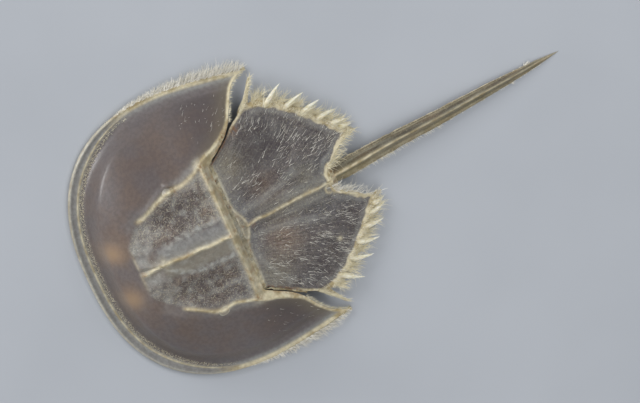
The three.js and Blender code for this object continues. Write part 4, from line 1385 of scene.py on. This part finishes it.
def make_head_bristles():
    x = random.uniform(-13, 13, CROWN_SEEDS)
    y = random.uniform(-35, -15.5, CROWN_SEEDS)
    kept = (np.abs(x) > 3.6) | (y < -30)
    kept &= on_crown(x, y) > 0.7
    kept &= mottle(x, y, 2.0, 21) > random.uniform(-0.7, 1.1, CROWN_SEEDS)
    heading = random.uniform(-2.2, 2.2, CROWN_SEEDS)
    lengths = random.uniform(0.25, 0.8, kept.sum())
    lines = lying(head_top, x[kept], y[kept], heading[kept], lengths, 4, 0.05, 0.1)
    bristles("crown_bristles", lines, 0.065, GREY_BRISTLE, "head_skin")
    x = random.uniform(15.5, 25, CHEEK_SEEDS) * np.where(random.random(CHEEK_SEEDS) < 0.7, -1, 1)
    y = random.uniform(-16, -6, CHEEK_SEEDS)
    clear = (CHEEK_EDGE.near(x, y)[0] > 1.2) & (HEAD_OUTLINE.near(x, y)[0] > 2.0)
    clear &= np.abs(x) > np.interp(y, (-16, -7), (17.5, 20))
    x, y = x[clear], y[clear]
    heading = np.sign(x) * 0.65 + random.normal(0, 0.3, len(x))
    lengths = 0.3 + 1.5 * random.random(len(x)) ** 2
    lines = lying(head_top, x, y, heading, lengths, 5, 0.05, 0.1, 0.08)
    bristles("cheek_bristles", lines, 0.085, GREY_BRISTLE, "head_skin")


def make_rim_bristles():
    for side, word in SIDES:
        shares = random.uniform(0.0, 0.6, 380)
        plan, out = edge_roots(HEAD_OUTLINE, shares, side)[:2]
        plan = plan - out * (rim_width(plan[:, 1]) * random.uniform(1.05, 1.4, len(shares)))[:, None]
        heading = np.arctan2(-out[:, 0], -out[:, 1]) + random.normal(0, 0.8, len(shares))
        lengths = random.uniform(0.2, 0.5, len(shares))
        lines = lying(head_top, plan[:, 0], plan[:, 1], heading, lengths, 4, 0.04, 0.2)
        bristles(f"rim_bristles_{word}", lines, 0.08, STRAW_BRISTLE, "head_skin")
        shares = random.uniform(0.45, 0.99, 150)
        edge = edge_bristles(
            CHEEK_EDGE, side, shares, -random.uniform(0.2, 0.8, 150), -0.6, 0.5, 0.1, (-0.6, 0.1),
            lambda plan: head_top(plan[:, 0], plan[:, 1]) - 0.15,
        )
        bristles(f"cheek_edge_bristles_{word}", edge, 0.1, STRAW_BRISTLE, "head_skin")


TAIL_TUFTS = [  # side, bristles, from and to along the tail spine, length
    (1, 120, 3, 24, 0.8), (1, 40, 10, 13, 1.0), (-1, 60, 6, 44, 0.35), (1, 60, 24, 48, 0.3),
    (-1, 22, 43.8, 45.2, 0.75), (1, 7, 39.6, 40.4, 0.8),
]


def make_tail_bristles():
    runs = []
    for side, count, low, high, length in TAIL_TUFTS:
        share = random.uniform(low, high, count) / TAIL_LENGTH
        plan = tail_plan(side * tail_half(share) * 0.97, share)
        z = TAIL_UNDERSIDE * (1 - share) + 0.3 * tail_half(share)
        ways = np.column_stack([
            side * random.uniform(0.5, 1.0, count), random.uniform(0.2, 1.0, count),
            random.uniform(-0.2, 0.4, count),
        ])
        lengths = length * random.uniform(0.5, 1.2, count)
        runs.append(sprout(np.column_stack([plan, z]), ways, lengths))
    bristles("tail_bristles", np.concatenate(runs), 0.09, WHITE_BRISTLE, "tail_skin")


# Stage

FLOOR_TONES = ("#b3b7bd", "#aeb2b8")
PHOTO_TURN = math.radians(24)  # the animal's width runs this far from the picture's vertical
PHOTO_TILT = math.radians(13.5)  # the camera leans this far towards the animal's right side
PHOTO_WIDTH = 128.0  # millimetres across the picture
PHOTO_CENTRE = (4.3, 3.4, 0.0)  # point of the plan at the picture's middle
CAMERA_AWAY = 700.0
SENSOR = 36.0


def make_floor():
    bpy.ops.mesh.primitive_plane_add(size=1.6)
    floor = bpy.context.object
    floor.name = "floor"
    material, tree = new_material("matte_paper_pale")
    clouds = add(tree, "remap", grain(tree, 60.0), 0.3, 0.7)
    tone = add(tree, "blend", clouds, *[colour(text) for text in FLOOR_TONES])
    add(tree, "output", add(tree, "surface", by_name={"Base Color": tone, "Roughness": 0.85}))
    floor.data.materials.append(material)


def camera_axes():
    """Right, up and back of the photograph's view."""
    width_way = Vector((math.cos(PHOTO_TILT), 0, math.sin(PHOTO_TILT)))
    length_way = Vector((0, 1, 0))
    right = math.sin(PHOTO_TURN) * width_way + math.cos(PHOTO_TURN) * length_way
    up = -math.cos(PHOTO_TURN) * width_way + math.sin(PHOTO_TURN) * length_way
    return right, up, right.cross(up)


def make_camera():
    right, up, back = camera_axes()
    camera = bpy.data.objects.new("camera", bpy.data.cameras.new("camera"))
    bpy.context.scene.collection.objects.link(camera)
    centre = Vector(part(PHOTO_CENTRE))
    turn = Matrix((right, up, back)).transposed().to_4x4()
    camera.matrix_world = Matrix.Translation(centre + back * CAMERA_AWAY * MM) @ turn
    camera.data.sensor_width = SENSOR
    camera.data.lens = SENSOR * CAMERA_AWAY / PHOTO_WIDTH
    camera.data.clip_start = 0.01
    bpy.context.scene.camera = camera


def make_light(name, along_picture, up_picture, height, size, power, in_gloss=True):
    """Square soft light over a place given in the picture's directions, aimed at the shell."""
    right, up, back = camera_axes()
    data = bpy.data.lights.new(name, "AREA")
    data.size = size
    data.energy = power
    light = bpy.data.objects.new(name, data)
    bpy.context.scene.collection.objects.link(light)
    light.location = right * along_picture + up * up_picture + back * height
    light.rotation_euler = light.location.to_track_quat("Z", "Y").to_euler()
    light.visible_glossy = in_gloss


def make_lights():
    make_light("key_softbox", -0.35, 0.35, 0.5, 0.35, 2.3, in_gloss=False)
    make_light("fill_softbox", 0.35, 0.1, 0.55, 0.4, 1.2, in_gloss=False)
    make_light("low_softbox", 0.1, -0.45, 0.4, 0.4, 0.9, in_gloss=False)
    make_light("side_softbox", -0.57, 0.14, 0.07, 0.14, 3.2)
    world = bpy.data.worlds.new("studio_air")
    world.use_nodes = True
    world.node_tree.nodes["Background"].inputs[0].default_value = colour("#eef1f5")
    world.node_tree.nodes["Background"].inputs[1].default_value = 0.42
    bpy.context.scene.world = world
    bpy.context.scene.view_settings.view_transform = "Standard"


make_camera()
make_floor()
make_lights()
make_head_shield()
make_eyes()
make_abdomen_plate()
make_hinge_membrane()
make_slit_skins()
make_tail_socket()
make_lobes()
make_edge_spines()
make_tail_spine()
make_cheek_fringes()
make_edge_brushes()
make_notch_bristles()
make_lobe_brushes()
make_plate_bristles()
make_head_bristles()
make_rim_bristles()
make_tail_bristles()
